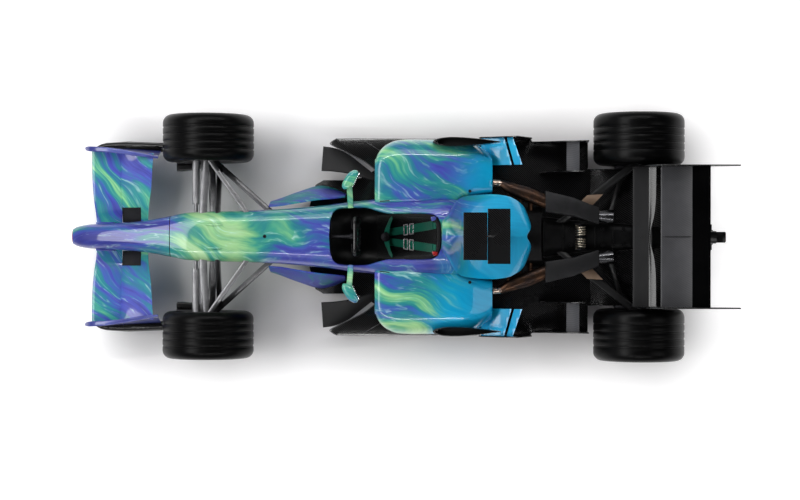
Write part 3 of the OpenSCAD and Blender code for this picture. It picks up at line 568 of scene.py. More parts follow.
# painted sheen: an even lighter grey copy of the black carbon that stands in for the light along
# the third flip-up
SHEEN_FLIP_CARBON = CarbonWeave("flip_carbon", "carbon", dark=0.075, light=0.095, roughness=0.4, coat=0.6)
DULL_CARBON = CarbonWeave("dull_carbon", "carbon", dark=0.003, light=0.006, roughness=0.45,
                          coat=0.08)
VANE_CARBON = CarbonWeave("vane_carbon", "carbon", dark=0.008, light=0.014, roughness=0.5, coat=0.0,
                          specular=0.1)
INTERIOR = CarbonWeave("cockpit_carbon", "carbon", dark=0.001, light=0.003, roughness=0.4,
                       coat=0.05)
RUBBER = TyreRubber("tyre_rubber", "tyre_rubber")
RIM_ALLOY = Metal("rim_alloy", "rim_alloy", (0.06, 0.062, 0.068), (0.10, 0.10, 0.11),
                  roughness=0.38, grain=even(40.0))
DARK_ALLOY = Metal("dark_alloy", "dark_alloy", (0.015, 0.015, 0.017), (0.032, 0.032, 0.035),
                   roughness=0.4, grain=even(60.0))
CAST_ALLOY = Metal("cast_alloy", "cast_alloy", (0.003, 0.003, 0.0033), (0.008, 0.008, 0.0085),
                   roughness=0.42, grain=even(160.0), metallic=0.8)
BRIGHT = Metal("bright_steel", "bright_metal", (0.72, 0.72, 0.74), (0.58, 0.58, 0.61),
               roughness=0.24, grain=even(30.0), relief=0.0)
DARK_CHROME = Metal("dark_chrome", "bright_metal", (0.12, 0.12, 0.125), (0.08, 0.08, 0.085),
                    roughness=0.18, grain=even(12.0), relief=0.0)
SHAFT_STEEL = Metal("shaft_steel", "bright_metal", (0.17, 0.17, 0.18), (0.12, 0.12, 0.13),
                    roughness=0.46, grain=(20.0, 3.0, 20.0), relief=0.0)
SPRING = Metal("spring_steel", "bright_metal", (0.62, 0.55, 0.44), (0.45, 0.40, 0.33),
               roughness=0.3, grain=even(30.0), relief=0.0)
BRONZE = Metal("heat_bronze", "exhaust_bronze", (0.12, 0.062, 0.035), (0.035, 0.026, 0.024),
               roughness=0.36, grain=even(14.0), relief=0.0)
COLLAR = Metal("polished_collar", "exhaust_bronze", (0.78, 0.62, 0.52), (0.60, 0.45, 0.36),
               roughness=0.26, grain=(90.0, 9.0, 9.0), relief=0.00001)
GOLD_WRAP = Metal("heat_wrap", "exhaust_bronze", (0.36, 0.25, 0.18), (0.28, 0.19, 0.13),
                  roughness=0.45, grain=(240.0, 24.0, 240.0), metallic=0.5)
SHIELD = Metal("heat_shield", "shield_grey", (0.016, 0.016, 0.018), (0.008, 0.008, 0.009),
               roughness=0.42, grain=even(30.0), metallic=0.4)
STRAP = Webbing("green_webbing", "belt_green")
PAD_STRAP = Webbing("strap_pads", "belt_green", (0.009, 0.24, 0.15), (0.003, 0.10, 0.065),
                    rib=0.006)
CLOTH = SeatCloth("seat_cloth", "seat_black")
CORE = RadiatorCore("radiator_core", "radiator_core")
WOOD = PlankWood("plank_wood", "plank_wood")
LENS = LampLens("lamp_lens", "light_red")
MIRROR = MirrorGlass("mirror_glass", "bright_metal")
FLOOR_WHITE = StudioFloor("studio_floor", "")


# Mesh tools


class Side(Enum):
    """Side of the car."""

    LEFT = 1
    RIGHT = -1

    @property
    def label(self) -> str:
        """The side as the pieces' names say it."""
        return self.name.lower()


@dataclass(frozen=True)
class Datum:
    """Places that the pieces share, in millimetres, read from the frame."""

    front_x: float
    rear_x: float
    deck_z: float

    @classmethod
    def from_frame(cls) -> "Datum":
        """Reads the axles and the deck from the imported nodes."""
        front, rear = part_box("tyre_front_left"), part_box("tyre_rear_left")
        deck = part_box("floor")[1].z
        middle = [(a + b) / 2 / MM for a, b in (front, rear)]
        return cls(middle[0].x, middle[1].x, deck / MM)

    def at(self, s: float, y: float, z: float) -> Vector:
        """Point at a station behind the front axle, in metres."""
        return Vector((self.front_x - s, y, z)) * MM

    def rear(self, r: float, y: float, z: float) -> Vector:
        """Point at a station behind the rear axle, in metres."""
        return Vector((self.rear_x - r, y, z)) * MM


def smooth_rows(rows: Sequence[Row], step: float) -> list[list[float]]:
    """Refines a table with monotone cubic curves through each column.

    Args:
        rows: table whose first column rises.
        step: largest step of the first column.

    Returns:
        The table with rows added between the given ones.
    """
    xs = [row[0] for row in rows]
    gaps = [b - a for a, b in zip(xs, xs[1:])]
    slopes = []
    for column in range(1, len(rows[0])):
        rise = [(b[column] - a[column]) / gap for a, b, gap in zip(rows, rows[1:], gaps)]
        inner = []
        for k in range(1, len(rise)):
            if rise[k - 1] * rise[k] <= 0:
                inner.append(0.0)
                continue
            before, after = 2 * gaps[k] + gaps[k - 1], gaps[k] + 2 * gaps[k - 1]
            inner.append((before + after) / (before / rise[k - 1] + after / rise[k]))
        slopes.append([rise[0], *inner, rise[-1]])
    table = []
    for k, gap in enumerate(gaps):
        count = max(1, math.ceil(gap / step))
        for i in range(count):
            t = i / count
            h0, h1 = (1 + 2 * t) * (1 - t) ** 2, t * t * (3 - 2 * t)
            g0, g1 = t * (1 - t) ** 2 * gap, t * t * (t - 1) * gap
            table.append([xs[k] + t * gap] + [
                h0 * rows[k][c + 1] + h1 * rows[k + 1][c + 1] + g0 * slope[k] + g1 * slope[k + 1]
                for c, slope in enumerate(slopes)])
    return table + [list(rows[-1])]


def power(value: float, e: float) -> float:
    """Signed power of a sine or cosine on a rounded section."""
    return math.copysign(abs(value) ** (2 / e), value)


def mm(x: float, y: float, z: float) -> Vector:
    """Vector in metres from lengths in millimetres."""
    return Vector((x * MM, y * MM, z * MM))


def turns(n: int) -> list[float]:
    """Angles of n even steps round a circle, in radians."""
    return [2 * math.pi * i / n for i in range(n)]


def half_turn(n: int) -> list[float]:
    """Angles from nothing to a half turn in n even steps, in radians."""
    return [math.pi * k / n for k in range(n + 1)]


def heading(points: Sequence[Vector], k: int) -> Vector:
    """Direction of a path at its point k, from the neighbours on both sides."""
    return (points[min(k + 1, len(points) - 1)] - points[max(k - 1, 0)]).normalized()


def section(x: float, yc: float, w: float, z: Row, e: Row, inner_e: float = 0.0,
            n: int = 96) -> Ring:
    """Rounded section across the car.

    Args:
        x, yc, w: place along the car, middle and half width, in millimetres.
        z: bottom, widest and top height.
        e: roundness below and above.
        inner_e: roundness on the side of the car's middle, if it differs.
        n: number of points.

    Returns:
        The closed ring, in metres.
    """
    ring = []
    for a in turns(n):
        c, d = math.cos(a), math.sin(a)
        k = inner_e if inner_e and c < -1e-9 else e[0] if d < 0 else e[1]
        up = power(d, k)
        reach = z[1] - z[0] if up < 0 else z[2] - z[1]
        ring.append(Vector((x, yc + w * power(c, k), z[1] + reach * up)) * MM)
    return ring


def foil(chord: float, thick: float, camber: float, n: int = 22) -> list[tuple[float, float]]:
    """Closed wing section in chord and height, nose at the origin and tail at minus chord."""
    arc = [i / n for i in range(n + 1)]
    bow = [camber * 4 * u * u * (1 - u * u) for u in arc]
    top = [(-chord * u * u, thick * (u - u**4) * 1.3 + b + 1) for u, b in zip(arc, bow)]
    low = [(-chord * u * u, -thick * (u - u**4) * 0.6 + b - 1) for u, b in zip(arc, bow)]
    return top + low[:0:-1]


def verts_of(geom: Sequence) -> list[bmesh.types.BMVert]:
    """The vertices among what an operator made."""
    return [g for g in geom if isinstance(g, bmesh.types.BMVert)]


def coated(bm: Mesh, finish: int) -> Mesh:
    """The mesh with one material number on all its faces."""
    for face in bm.faces:
        face.material_index = finish
    return bm


class Skin:
    """A skin drawn out ring by ring with the extrude operator."""

    def __init__(self, ring: Ring, closed: bool = True) -> None:
        """Lays the first ring."""
        self.bm = bmesh.new()
        self.closed = closed
        self.row = [self.bm.verts.new(p) for p in ring]
        self.edges = [self.bm.edges.new(pair) for pair in self._pairs(self.row)]

    def _pairs(self, row: list) -> list:
        """Neighbours along a row."""
        ends = row[1:] + row[:1] if self.closed else row[1:]
        return list(zip(row, ends))

    def draw(self, ring: Ring, finish: int | Sequence[int] = 0) -> "Skin":
        """Extrudes the last ring to a new one.

        Args:
            ring: as many points as the first ring.
            finish: material number of the new faces, or one for each edge of the ring.

        Returns:
            The skin itself.
        """
        made = bmesh.ops.extrude_edge_only(self.bm, edges=self.edges)["geom"]
        fresh = set(verts_of(made))
        row = []
        for vert in self.row:
            row.append(next(o for o in (e.other_vert(vert) for e in vert.link_edges) if o in fresh))
        for vert, point in zip(row, ring):
            vert.co = point
        codes = [finish] * len(row) if isinstance(finish, int) else finish
        for (a, b), (c, d), code in zip(self._pairs(self.row), self._pairs(row), codes):
            self.bm.faces.get((a, b, d, c)).material_index = code
        lines = [g for g in made if isinstance(g, bmesh.types.BMEdge)]
        self.edges = [line for line in lines if fresh.issuperset(line.verts)]
        self.row = row
        return self

    def close(self, finish: int = 0) -> Mesh:
        """Fills the open ends and gives the mesh."""
        before = set(self.bm.faces)
        bmesh.ops.holes_fill(self.bm, edges=self.bm.edges[:], sides=0)
        for face in self.bm.faces:
            if face not in before:
                face.material_index = finish
        return self.bm


def loft(rings: Sequence[Ring], finishes: Sequence[int | Sequence[int]] | int = 0,
         cap: int = 0) -> Mesh:
    """Closed skin through rings, with a material number for each stretch and one for the caps."""
    skin = Skin(rings[0])
    for k, ring in enumerate(rings[1:]):
        skin.draw(ring, finishes if isinstance(finishes, int) else finishes[k])
    return skin.close(cap)


def sweep(points: Sequence[Vector], radius: float | Sequence[float], sides: int = 14,
          finish: int = 0) -> Mesh:
    """Round bar along points, in metres, with one radius or one for each point."""
    rings = []
    side = None
    for k, point in enumerate(points):
        along = heading(points, k)
        if side is None:
            side = along.orthogonal()
        side = (side - along * side.dot(along)).normalized()
        other = along.cross(side)
        r = radius if isinstance(radius, float) else radius[k]
        rings.append([point + (side * math.cos(a) + other * math.sin(a)) * r for a in turns(sides)])
    return loft(rings, finish, finish)


def curve(points: Sequence[Vector], steps: int) -> list[Vector]:
    """Smooth path through points with steps between neighbours."""
    path = []
    for k in range(len(points) - 1):
        p0, p1, p2 = points[max(k - 1, 0)], points[k], points[k + 1]
        p3 = points[min(k + 2, len(points) - 1)]
        for i in range(steps):
            t = i / steps
            path.append((p1 * 2 + (p2 - p0) * t + (p0 * 2 - p1 * 5 + p2 * 4 - p3) * t**2
                         + (p1 * 3 - p0 - p2 * 3 + p3) * t**3) / 2)
    return path + [points[-1].copy()]


def round_edges(bm: Mesh, width: float, angle: float = 40.0, segments: int = 2) -> Mesh:
    """Bevels the edges sharper than an angle, width in millimetres."""
    limit = math.radians(angle)
    sharp = [e for e in bm.edges if len(e.link_faces) == 2 and e.calc_face_angle(0.0) > limit]
    bmesh.ops.bevel(
        bm, geom=sharp, offset=width * MM, offset_type="OFFSET", segments=segments, profile=0.5,
        affect="EDGES", material=-1, clamp_overlap=True)
    return bm


def slab(points: Sequence[Vector], depth: Vector, bevel: float = 1.5, finish: int = 0) -> Mesh:
    """Flat outline drawn out along depth with rounded edges."""
    bm = bmesh.new()
    face = bmesh.ops.contextual_create(bm, geom=[bm.verts.new(p) for p in points])["faces"][0]
    made = bmesh.ops.extrude_face_region(bm, geom=[face])["geom"]
    bmesh.ops.translate(bm, vec=depth, verts=verts_of(made))
    bmesh.ops.recalc_face_normals(bm, faces=bm.faces[:])
    return round_edges(coated(bm, finish), bevel, 30.0)


def upright(place: Callable[..., Vector], outline: Sequence[Row], y: float, thick: float,
            bevel: float, finish: int = 0) -> Mesh:
    """Plate along the car: stations and heights at y, drawn out to the left, in millimetres."""
    return slab([place(s, y, z) for s, z in outline], mm(0, thick, 0), bevel, finish)


def block(low: Vector, high: Vector, bevel: float = 2.0, finish: int = 0) -> Mesh:
    """Box between two corners with rounded edges."""
    bm = bmesh.new()
    bmesh.ops.create_cube(bm, size=1.0)
    bmesh.ops.scale(bm, vec=high - low, verts=bm.verts[:])
    bmesh.ops.translate(bm, vec=(low + high) / 2, verts=bm.verts[:])
    return round_edges(coated(bm, finish), bevel, 30.0)


def turned(profile: Sequence[tuple[float, float]], centre: Vector, axis: Vector, n: int, ring: bool,
           finish: int = 0) -> Mesh:
    """Solid of revolution.

    Args:
        profile: radius and place along the axis, in millimetres.
        centre: where the axis place is zero, in metres.
        axis: direction of the axis.
        n: steps of the turn.
        ring: True for a closed profile off the axis, False for one that starts and ends on it.
        finish: material number.

    Returns:
        The closed mesh.
    """
    axis = axis.normalized()
    side = axis.orthogonal().normalized()
    bm = bmesh.new()
    verts = [bm.verts.new(centre + (side * r + axis * a) * MM) for r, a in profile]
    ends = verts[1:] + verts[:1] if ring else verts[1:]
    edges = [bm.edges.new(pair) for pair in zip(verts, ends)]
    bmesh.ops.spin(
        bm, geom=verts + edges, cent=centre, axis=axis, dvec=(0, 0, 0), angle=2 * math.pi, steps=n,
        use_merge=True, use_duplicate=False)
    bmesh.ops.remove_doubles(bm, verts=bm.verts[:], dist=WELD)
    return coated(bm, finish)


def merged(*parts: Mesh) -> Mesh:
    """Several meshes in one."""
    whole = bmesh.new()
    for part in parts:
        mesh = bpy.data.meshes.new("part")
        bmesh.ops.recalc_face_normals(part, faces=part.faces[:])
        part.to_mesh(mesh)
        part.free()
        whole.from_mesh(mesh)
        bpy.data.meshes.remove(mesh)
    return whole


def both_sides(*parts: Mesh) -> Mesh:
    """Meshes in one, with their mirror image across the car's middle."""
    bm = merged(*parts)
    copy = bmesh.ops.duplicate(bm, geom=bm.verts[:] + bm.edges[:] + bm.faces[:])["geom"]
    bmesh.ops.scale(bm, vec=(1, -1, 1), verts=verts_of(copy))
    bmesh.ops.reverse_faces(bm, faces=[g for g in copy if isinstance(g, bmesh.types.BMFace)])
    return bm


@dataclass
class Workshop:
    """Turns meshes into dressed pieces that ride on the frame."""

    nodes: dict[str, bpy.types.Object]
    datum: Datum

    def piece(self, name: str, bm: Mesh, finishes: Finish | Sequence[Finish], body: str = CHASSIS,
              replaces: Sequence[str] = (), sharp: float = 38.0) -> bpy.types.Object:
        """Makes an object of a mesh.

        Args:
            name: the piece's name.
            bm: its mesh, freed here.
            finishes: one finish, or one for each material number.
            body: CAD body that it rides on.
            replaces: CAD nodes that it stands for.
            sharp: edges above this angle stay crisp.

        Returns:
            The object.
        """
        coats = [finishes] if isinstance(finishes, Finish) else list(finishes)
        bmesh.ops.remove_doubles(bm, verts=bm.verts[:], dist=WELD)
        bmesh.ops.dissolve_degenerate(bm, edges=bm.edges[:], dist=SLIVER)
        bmesh.ops.recalc_face_normals(bm, faces=bm.faces[:])
        for face in bm.faces:
            face.smooth = True
        mesh = bpy.data.meshes.new(name)
        bm.to_mesh(mesh)
        bm.free()
        mesh.set_sharp_from_angle(angle=math.radians(sharp))
        obj = bpy.data.objects.new(name, mesh)
        for coat in coats:
            mesh.materials.append(coat.material())
        bpy.context.scene.collection.objects.link(obj)
        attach(obj, body)
        if replaces:
            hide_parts(*replaces)
        log.info("%s: %d faces", name, len(mesh.polygons))
        return obj

    def refined(self, node: str, width: float = 1.2, angle: float = 40.0) -> Mesh:
        """Copy of a CAD node with merged faces and rounded edges, width in millimetres."""
        bm = bmesh.new()
        bm.from_mesh(self.nodes[node].data)
        bmesh.ops.remove_doubles(bm, verts=bm.verts[:], dist=CAD_WELD)
        bmesh.ops.dissolve_limit(
            bm, angle_limit=math.radians(FLAT_DEG), use_dissolve_boundaries=False,
            verts=bm.verts[:], edges=bm.edges[:])
        coated(bm, 0)
        return round_edges(bm, width, angle) if width else bm

    def dress(self, node: str, finish: Finish, body: str = CHASSIS, width: float = 1.2,
              angle: float = 40.0) -> bpy.types.Object:
        """Replaces a CAD node by its refined copy in a finish."""
        return self.piece(node + "_shape", self.refined(node, width, angle), finish, body, [node])


# Sub-assemblies


@dataclass
class Assembly:
    """Pieces that are built together in one workshop."""

    shop: Workshop

    @property
    def datum(self) -> Datum:
        """The places that all pieces share."""
        return self.shop.datum

    def build(self) -> None:
        """Builds the pieces."""
        raise NotImplementedError


@dataclass
class Bodywork(Assembly):
    """Nose, monocoque, sidepods, engine cover, mirrors and the fins on them."""

    step: float = 22.0
    wall: float = 20.0
    pod_wall: float = 14.0
    cover_wall: float = 10.0
    seam: float = 1.5
    # roundness of the monocoque's section below and above its widest height
    belly_e: float = 3.6
    crown_e: float = 3.4
    # station of the wall behind the cockpit
    tank_wall: float = 1693.0
    # stations where the ducts behind the inlets end and the open tails' linings start
    pod_duct_end: float = 1496.0
    pod_tail: float = 1860.0
    cover_duct_end: float = 1850.0
    cover_tail: float = 2180.0
    # columns: station s, half width, bottom, widest height, top, roundness below, roundness above
    nose_rows: tuple = (
        (-1005, 42, 238, 262, 290, 2, 2), (-990, 58, 225, 262, 308, 2.2, 2.2),
        (-950, 76, 216, 265, 332, 2.4, 2.4), (-860, 90, 218, 280, 366, 2.6, 2.6),
        (-700, 96, 240, 310, 415, 2.8, 2.8), (-480, 112, 275, 360, 470, 3, 3),
        (-260, 148, 304, 410, 524, 3.2, 3.2))
    # columns: station s, half width, bottom, widest height, top, half width of the cockpit opening
    tub_rows: tuple = (
        (-260, 148, 304, 410, 524, 0), (-135, 172, 318, 430, 548, 0), (0, 180, 325, 440, 570, 0),
        (276, 186, 315, 450, 600, 0), (500, 196, 298, 455, 615, 0), (700, 212, 260, 460, 632, 0),
        (890, 231, 183, 450, 648, 0), (898, 232, 180, 450, 648, 118),
        (916, 235, 170, 448, 648, 172), (958, 240, 150, 445, 648, 204),
        (1038, 252, 132, 440, 648, 213), (1148, 264, 112.5, 430, 648, 212),
        (1238, 272, 112.5, 430, 650, 188), (1323, 276, 112.5, 430, 655, 171),
        (1538, 276, 112.5, 430, 672, 171), (1617, 276, 112.5, 430, 686, 166),
        (1665, 276, 112.5, 430, 694, 142), (1687, 276, 112.5, 430, 698, 96),
        (1693, 276, 112.5, 430, 697.5, 0), (1727, 276, 112.5, 430, 694, 0),
        (1837, 275, 112.5, 430, 640, 0))
    # columns: station s, inner y, outer y, bottom, top, roundness
    pod_rows: tuple = (
        (1215, 235, 560, 330, 585, 4), (1250, 232, 620, 300, 600, 3.6),
        (1300, 230, 665, 270, 606, 3.2), (1380, 228, 697, 230, 606, 3),
        (1500, 228, 705, 175, 600, 3), (1640, 228, 705, 132, 585, 3),
        (1800, 240, 700, 112.5, 560, 3), (1838, 272, 697, 112.5, 551, 3),
        (1930, 290, 680, 112.5, 525, 3), (2061, 312, 600, 112.5, 470, 3))
    # columns: station s, half width, bottom, widest height, top, roundness below, roundness above
    cover_rows: tuple = (
        (1691, 112, 698.5, 780, 925, 3, 2.2), (1727, 150, 660, 750, 945, 3, 1.9),
        (1785, 240, 580, 640, 950, 3, 1.15), (1837, 282, 540, 580, 946, 3, 0.95),
        (1880, 292, 535, 572, 925, 3, 0.95), (2050, 304, 530, 570, 850, 3, 1.0),
        (2160, 292, 535, 572, 808, 3, 1.05), (2240, 255, 535, 570, 778, 3, 1.1),
        (2290, 205, 530, 565, 760, 3, 1.2), (2326, 110, 535, 575, 745, 3, 1.5))

    def build(self) -> None:
        """Builds every panel."""
        self.nose()
        self.monocoque()
        for side in Side:
            self.sidepod(side)
            self.chimney(side)
        self.engine_cover()
        self.winglet()
        self.chassis_details()
        self.mirrors()

    def body_ring(self, row: Row, inset: float = 0.0, shift: float = 0.0) -> Ring:
        """Ring of a nose or cover row, drawn in by an inset and shifted back."""
        x = self.datum.front_x - row[0] - shift
        return section(x, 0, row[1] - inset, (row[2] + inset, row[3], row[4] - inset), row[5:7])

    def nose(self) -> None:
        """Nose cone with a round tip and a rolled joint to the monocoque."""
        rows = smooth_rows(self.nose_rows, self.step)
        tip = rows[1]
        rings = []
        for k in range(1, 6):
            a = math.pi / 2 * k / 6
            centre = self.datum.at(tip[0], 0, tip[3])
            ahead = mm(15 * math.cos(a), 0, 0)
            rings.append([centre + (p - centre) * math.sin(a) + ahead for p in self.body_ring(tip)])
        rings += [self.body_ring(row) for row in rows[1:-1]]
        last = rows[-1]
        rings += [self.body_ring(last, 0, -2 * self.seam), self.body_ring(last, 4, -self.seam)]
        codes = [1] * 4 + [0] * (len(rings) - 5)
        self.shop.piece("nose_skin", loft(rings, codes, 1), [LIVERY, RED], replaces=["nose_cone"])

    def tub_ring(self, row: Row, inset: float = 0.0) -> Ring:
        """Ring of the monocoque: outer wall, rim, inner wall and the other rim.

        Args:
            row: a row of the tub table.
            inset: how far the outer wall is drawn in.

        Returns:
            A closed ring in metres; the rims meet at the middle where there is no opening.
        """
        s, w, z0, zm, z1, opening = row
        fixed, top_n, low_n, e_top = 0.93, 14, 60, self.crown_e
        x = self.datum.front_x - s

        def half_shell(t: float) -> list[tuple[float, float]]:
            """Wall at depth t, from the left rim under the car to the right rim."""
            ww, top, low = w - t, z1 - t, z0 + t
            start = fixed * ww
            rim = min(opening, start)
            crown = []
            for k in range(top_n):
                y = rim + (start - rim) * k / top_n
                crown.append((y, zm + (top - zm) * (1 - (y / ww) ** e_top) ** (1 / e_top)))
            a0 = math.acos(fixed ** (e_top / 2))
            belly = []
            for k in range(low_n + 1):
                a = a0 - (math.pi + 2 * a0) * k / low_n
                e = self.belly_e if math.sin(a) < 0 else e_top
                up, out = power(math.sin(a), e), power(math.cos(a), e)
                belly.append((ww * out, zm + (zm - low if up < 0 else top - zm) * up))
            return crown + belly + [(-y, z) for y, z in reversed(crown)]

        outer, inner = half_shell(inset), half_shell(self.wall)[::-1]
        bulge = min(9.0, opening * 0.4)

        def lip(first: Row, last: Row, sign: float) -> list[tuple[float, float]]:
            """Rounded rim between the two walls."""
            y, z, rise = first[0], first[1], last[1] - first[1]
            return [(y - sign * bulge * math.sin(math.pi * f), z + rise * f)
                    for f in (0.12, 0.35, 0.65, 0.88)]

        points = outer + lip(outer[-1], inner[0], -1) + inner + lip(inner[-1], outer[0], 1)
        return [Vector((x, y, z)) * MM for y, z in points]

    def monocoque(self) -> None:
        """One smooth skin for the monocoque, the cockpit sides and the tank bay."""
        rows = smooth_rows(self.tub_rows, self.step)
        first = [rows[0][0] + self.seam, *rows[0][1:]]
        rings = [self.tub_ring(first, 4), self.tub_ring([first[0] + self.seam, *first[1:]])]
        rings += [self.tub_ring(row) for row in rows[1:]]
        half = (len(rings[0]) - 8) // 2
        codes = [0] * (half + 3) + [1] * (half + 1) + [0] * 4
        bm = loft(rings, [codes] * (len(rings) - 1), 1)
        bmesh.ops.remove_doubles(bm, verts=bm.verts[:], dist=WELD)
        inside = [f for f in bm.faces if all(abs(v.co.y) < WELD for v in f.verts)]
        bmesh.ops.delete(bm, geom=inside, context="FACES")
        self.shop.piece("monocoque_skin", bm, [LIVERY, INTERIOR],
                        replaces=["monocoque", "cockpit_tub", "roll_hoop"])
        d, (_, w, z0, zm, z1, _) = self.datum, self.tub_row(self.tank_wall)
        t = self.wall - 2
        wall = section(d.front_x - self.tank_wall + 2, 0, w - t, (z0 + t, zm, z1 - t),
                       (self.belly_e, self.crown_e), 0, 64)
        self.shop.piece("tank_bulkhead", slab(wall, mm(-6, 0, 0), 1), INTERIOR)

    def tub_row(self, s: float) -> list[float]:
        """Row of the monocoque at a station, straight between the table's rows."""
        for a, b in zip(self.tub_rows, self.tub_rows[1:]):
            if a[0] <= s <= b[0]:
                t = (s - a[0]) / (b[0] - a[0])
                return [p + (q - p) * t for p, q in zip(a, b)]
        return []

    def tub_side(self, s: float, z: float) -> float:
        """Half width of the monocoque's outside at a station and a height, in millimetres."""
        row = self.tub_row(s)
        if not row:
            return 0.0
        _, w, z0, zm, z1, _ = row
        above = z > zm
        u = (z - zm) / (z1 - zm) if above else (zm - z) / (zm - z0)
        e = self.crown_e if above else self.belly_e
        return w * (1 - u**e) ** (1 / e) if u < 1 else 0.0

    def tub_top(self, s: float, y: float) -> float:
        """Height of the monocoque's top at a station and a y, in millimetres."""
        row = self.tub_row(s)
        if not row or abs(y) >= row[1]:
            return 0.0
        _, w, _, zm, z1, _ = row
        e = self.crown_e
        return zm + (z1 - zm) * (1 - (abs(y) / w) ** e) ** (1 / e)

    def pod_ring(self, row: Row, inset: float, side: Side, shift: float = 0.0) -> Ring:
        """Ring of a sidepod, drawn in by an inset and let into the monocoque's side."""
        s, y0, y1, z0, z1, e = row
        ring = section(self.datum.front_x - s - shift, (y0 + y1) / 2, (y1 - y0) / 2 - inset,
                       (z0 + inset, (z0 + z1) / 2, z1 - inset), (e, e), 9.0, 120)
        sunk = [max(p.y, (self.tub_side(s + shift, p.z / MM) - 4) * MM) for p in ring]
        return [Vector((p.x, y * side.value, p.z)) for p, y in zip(ring, sunk)]

    def sidepod(self, side: Side) -> None:
        """Sidepod with a rounded inlet lip, an inner duct and an open tail."""
        rows = smooth_rows(self.pod_rows, self.step)
        duct = [row for row in rows if row[0] <= self.pod_duct_end]
        tail = [row for row in rows if row[0] >= self.pod_tail]
        t = self.pod_wall
        rings = [self.pod_ring(row, t, side) for row in reversed(duct)][:-1]
        lip = rows[0]
        rings += [self.pod_ring(lip, t * (1 + math.cos(a)) / 2, side, 6 - 6 * math.sin(a))
                  for a in half_turn(8)]
        inner = len(rings)
        rings += [self.pod_ring(row, 0, side) for row in rows[1:]]
        rings += [self.pod_ring(rows[-1], 3, side, 1.5), self.pod_ring(rows[-1], 8, side, 0.0)]
        rings += [self.pod_ring(row, t, side) for row in reversed(tail)]
        codes = [1] * (len(duct) - 2) + [0] * (inner - len(duct) + 1 + len(rows))
        codes += [1] * (len(rings) - 1 - len(codes))
        node = f"sidepod_{side.label}"
        self.shop.piece(node + "_skin", loft(rings, codes, 1), [POD_LIVERY, INTERIOR],
                        replaces=[node])

    def chimney(self, side: Side) -> None:
        """Teardrop cooling outlet on the pod's shoulder with a deep slot in its top."""
        length, half, y, start, n = 486.0, 42.0, 678.0, 1631.0, 72
        levels = ((470, 1.0), (606, 1.0), (612, 0.985), (616, 0.955), (617, 0.92), (614, 0.885),
                  (600, 0.865), (560, 0.86))

        def outline(z: float, k: float) -> Ring:
            """Outline at a height, scaled about its middle."""
            ring = []
            for a in turns(n):
                wide = half * math.sin(a) * (1.15 - 0.45 * (1 - math.cos(a)))
                s = start + length / 2 * (1 - k * math.cos(a))
                ring.append(self.datum.at(s, side.value * (y + wide * k), z))
            return ring

        bm = loft([outline(z, k) for z, k in levels], [0, 0, 0, 0, 0, 1, 1], 1)
        node = ["chimneys"] if side is Side.LEFT else []
        self.shop.piece(f"chimney_{side.label}", bm, [CARBON, INTERIOR], replaces=node)

    def engine_cover(self) -> None:
        """Engine cover with the airbox lip in front and two lobes at the rear."""
        rows = smooth_rows(self.cover_rows, self.step)
        t = self.cover_wall
        notch_depth, notch_start, notch_run, notch_half = 34, 2200, 126, 42

        def ring(row: Row, inset: float, shift: float = 0.0) -> Ring:
            """Cover ring, notched at the middle near the rear end."""
            notch = notch_depth * max(0.0, (row[0] - notch_start) / notch_run) ** 2
            points = []
            for p in self.body_ring(row, inset, shift):
                low = (self.tub_top(row[0] + shift, p.y / MM) - 5) * MM
                ahead = notch * MM * math.exp(-((p.y / MM / notch_half) ** 2))
                points.append(Vector((p.x + ahead, p.y, max(p.z, low))))
            return points

        duct = [row for row in rows if row[0] <= self.cover_duct_end]
        rings = [ring(row, t + 4) for row in reversed(duct)][:-1]
        rings += [ring(rows[0], (t + 4) * (1 + math.cos(a)) / 2, 5 - 5 * math.sin(a))
                  for a in half_turn(8)]
        rings += [ring(row, 0) for row in rows[1:]]
        tail = [row for row in rows if row[0] >= self.cover_tail]
        rings += [ring(rows[-1], 4, 2.0)] + [ring(row, t) for row in reversed(tail)]
        codes = [1] * (len(duct) - 2) + [0] * (8 + len(rows) + 1)
        codes += [1] * (len(rings) - 1 - len(codes))
        self.shop.piece("engine_cover_skin", loft(rings, codes, 1), [LIVERY, INTERIOR],
                        replaces=["engine_cover"], sharp=50)

    def winglet(self) -> None:
        """Two small planes on a fin over the engine cover."""
        d = self.datum
        planes = [wing(d, [(y, 1836, 962, 167, 9, -5, 4) for y in (-166, 166)]),
                  wing(d, [(y, 2006, 950, 158, 9, -5, 6) for y in (-192, 192)])]
        outline = ((1862, 850), (2125, 770), (2132, 956), (1868, 963))
        fin = upright(d.at, outline, -5, 10, 3)
        self.shop.piece("winglet_planes", merged(*planes, fin), SATIN_CARBON,
                        replaces=["cover_winglet"])

    def chassis_details(self) -> None:
        """Damper blisters, a filler cap, slots and ports on the chassis."""
        d = self.datum
        blisters = []
        for y in (-83, 83):
            rings = []
            for k in range(13):
                u = k / 12
                swell = max(0.04, math.sin(math.pi * u) ** 0.8)
                s = -8 + 150 * u
                z = (545, 563 + 0.11 * s, 566 + 0.11 * s + 15 * swell)
                rings.append(section(d.front_x - s, y, 15 * swell, z, (2, 2), 0, 24))
            blisters.append(loft(rings))
        self.shop.piece("damper_blisters", merged(*blisters), LIVERY)
        cap = turned([(0, -6), (13, -6), (13, 2.5), (11, 4), (9, 4), (8, 1.5), (0, 1.5)],
                     d.at(430, 0, 609), Vector((0.05, 0, 1)), 32, False)
        self.shop.piece("filler_cap", cap, DARK_ALLOY)
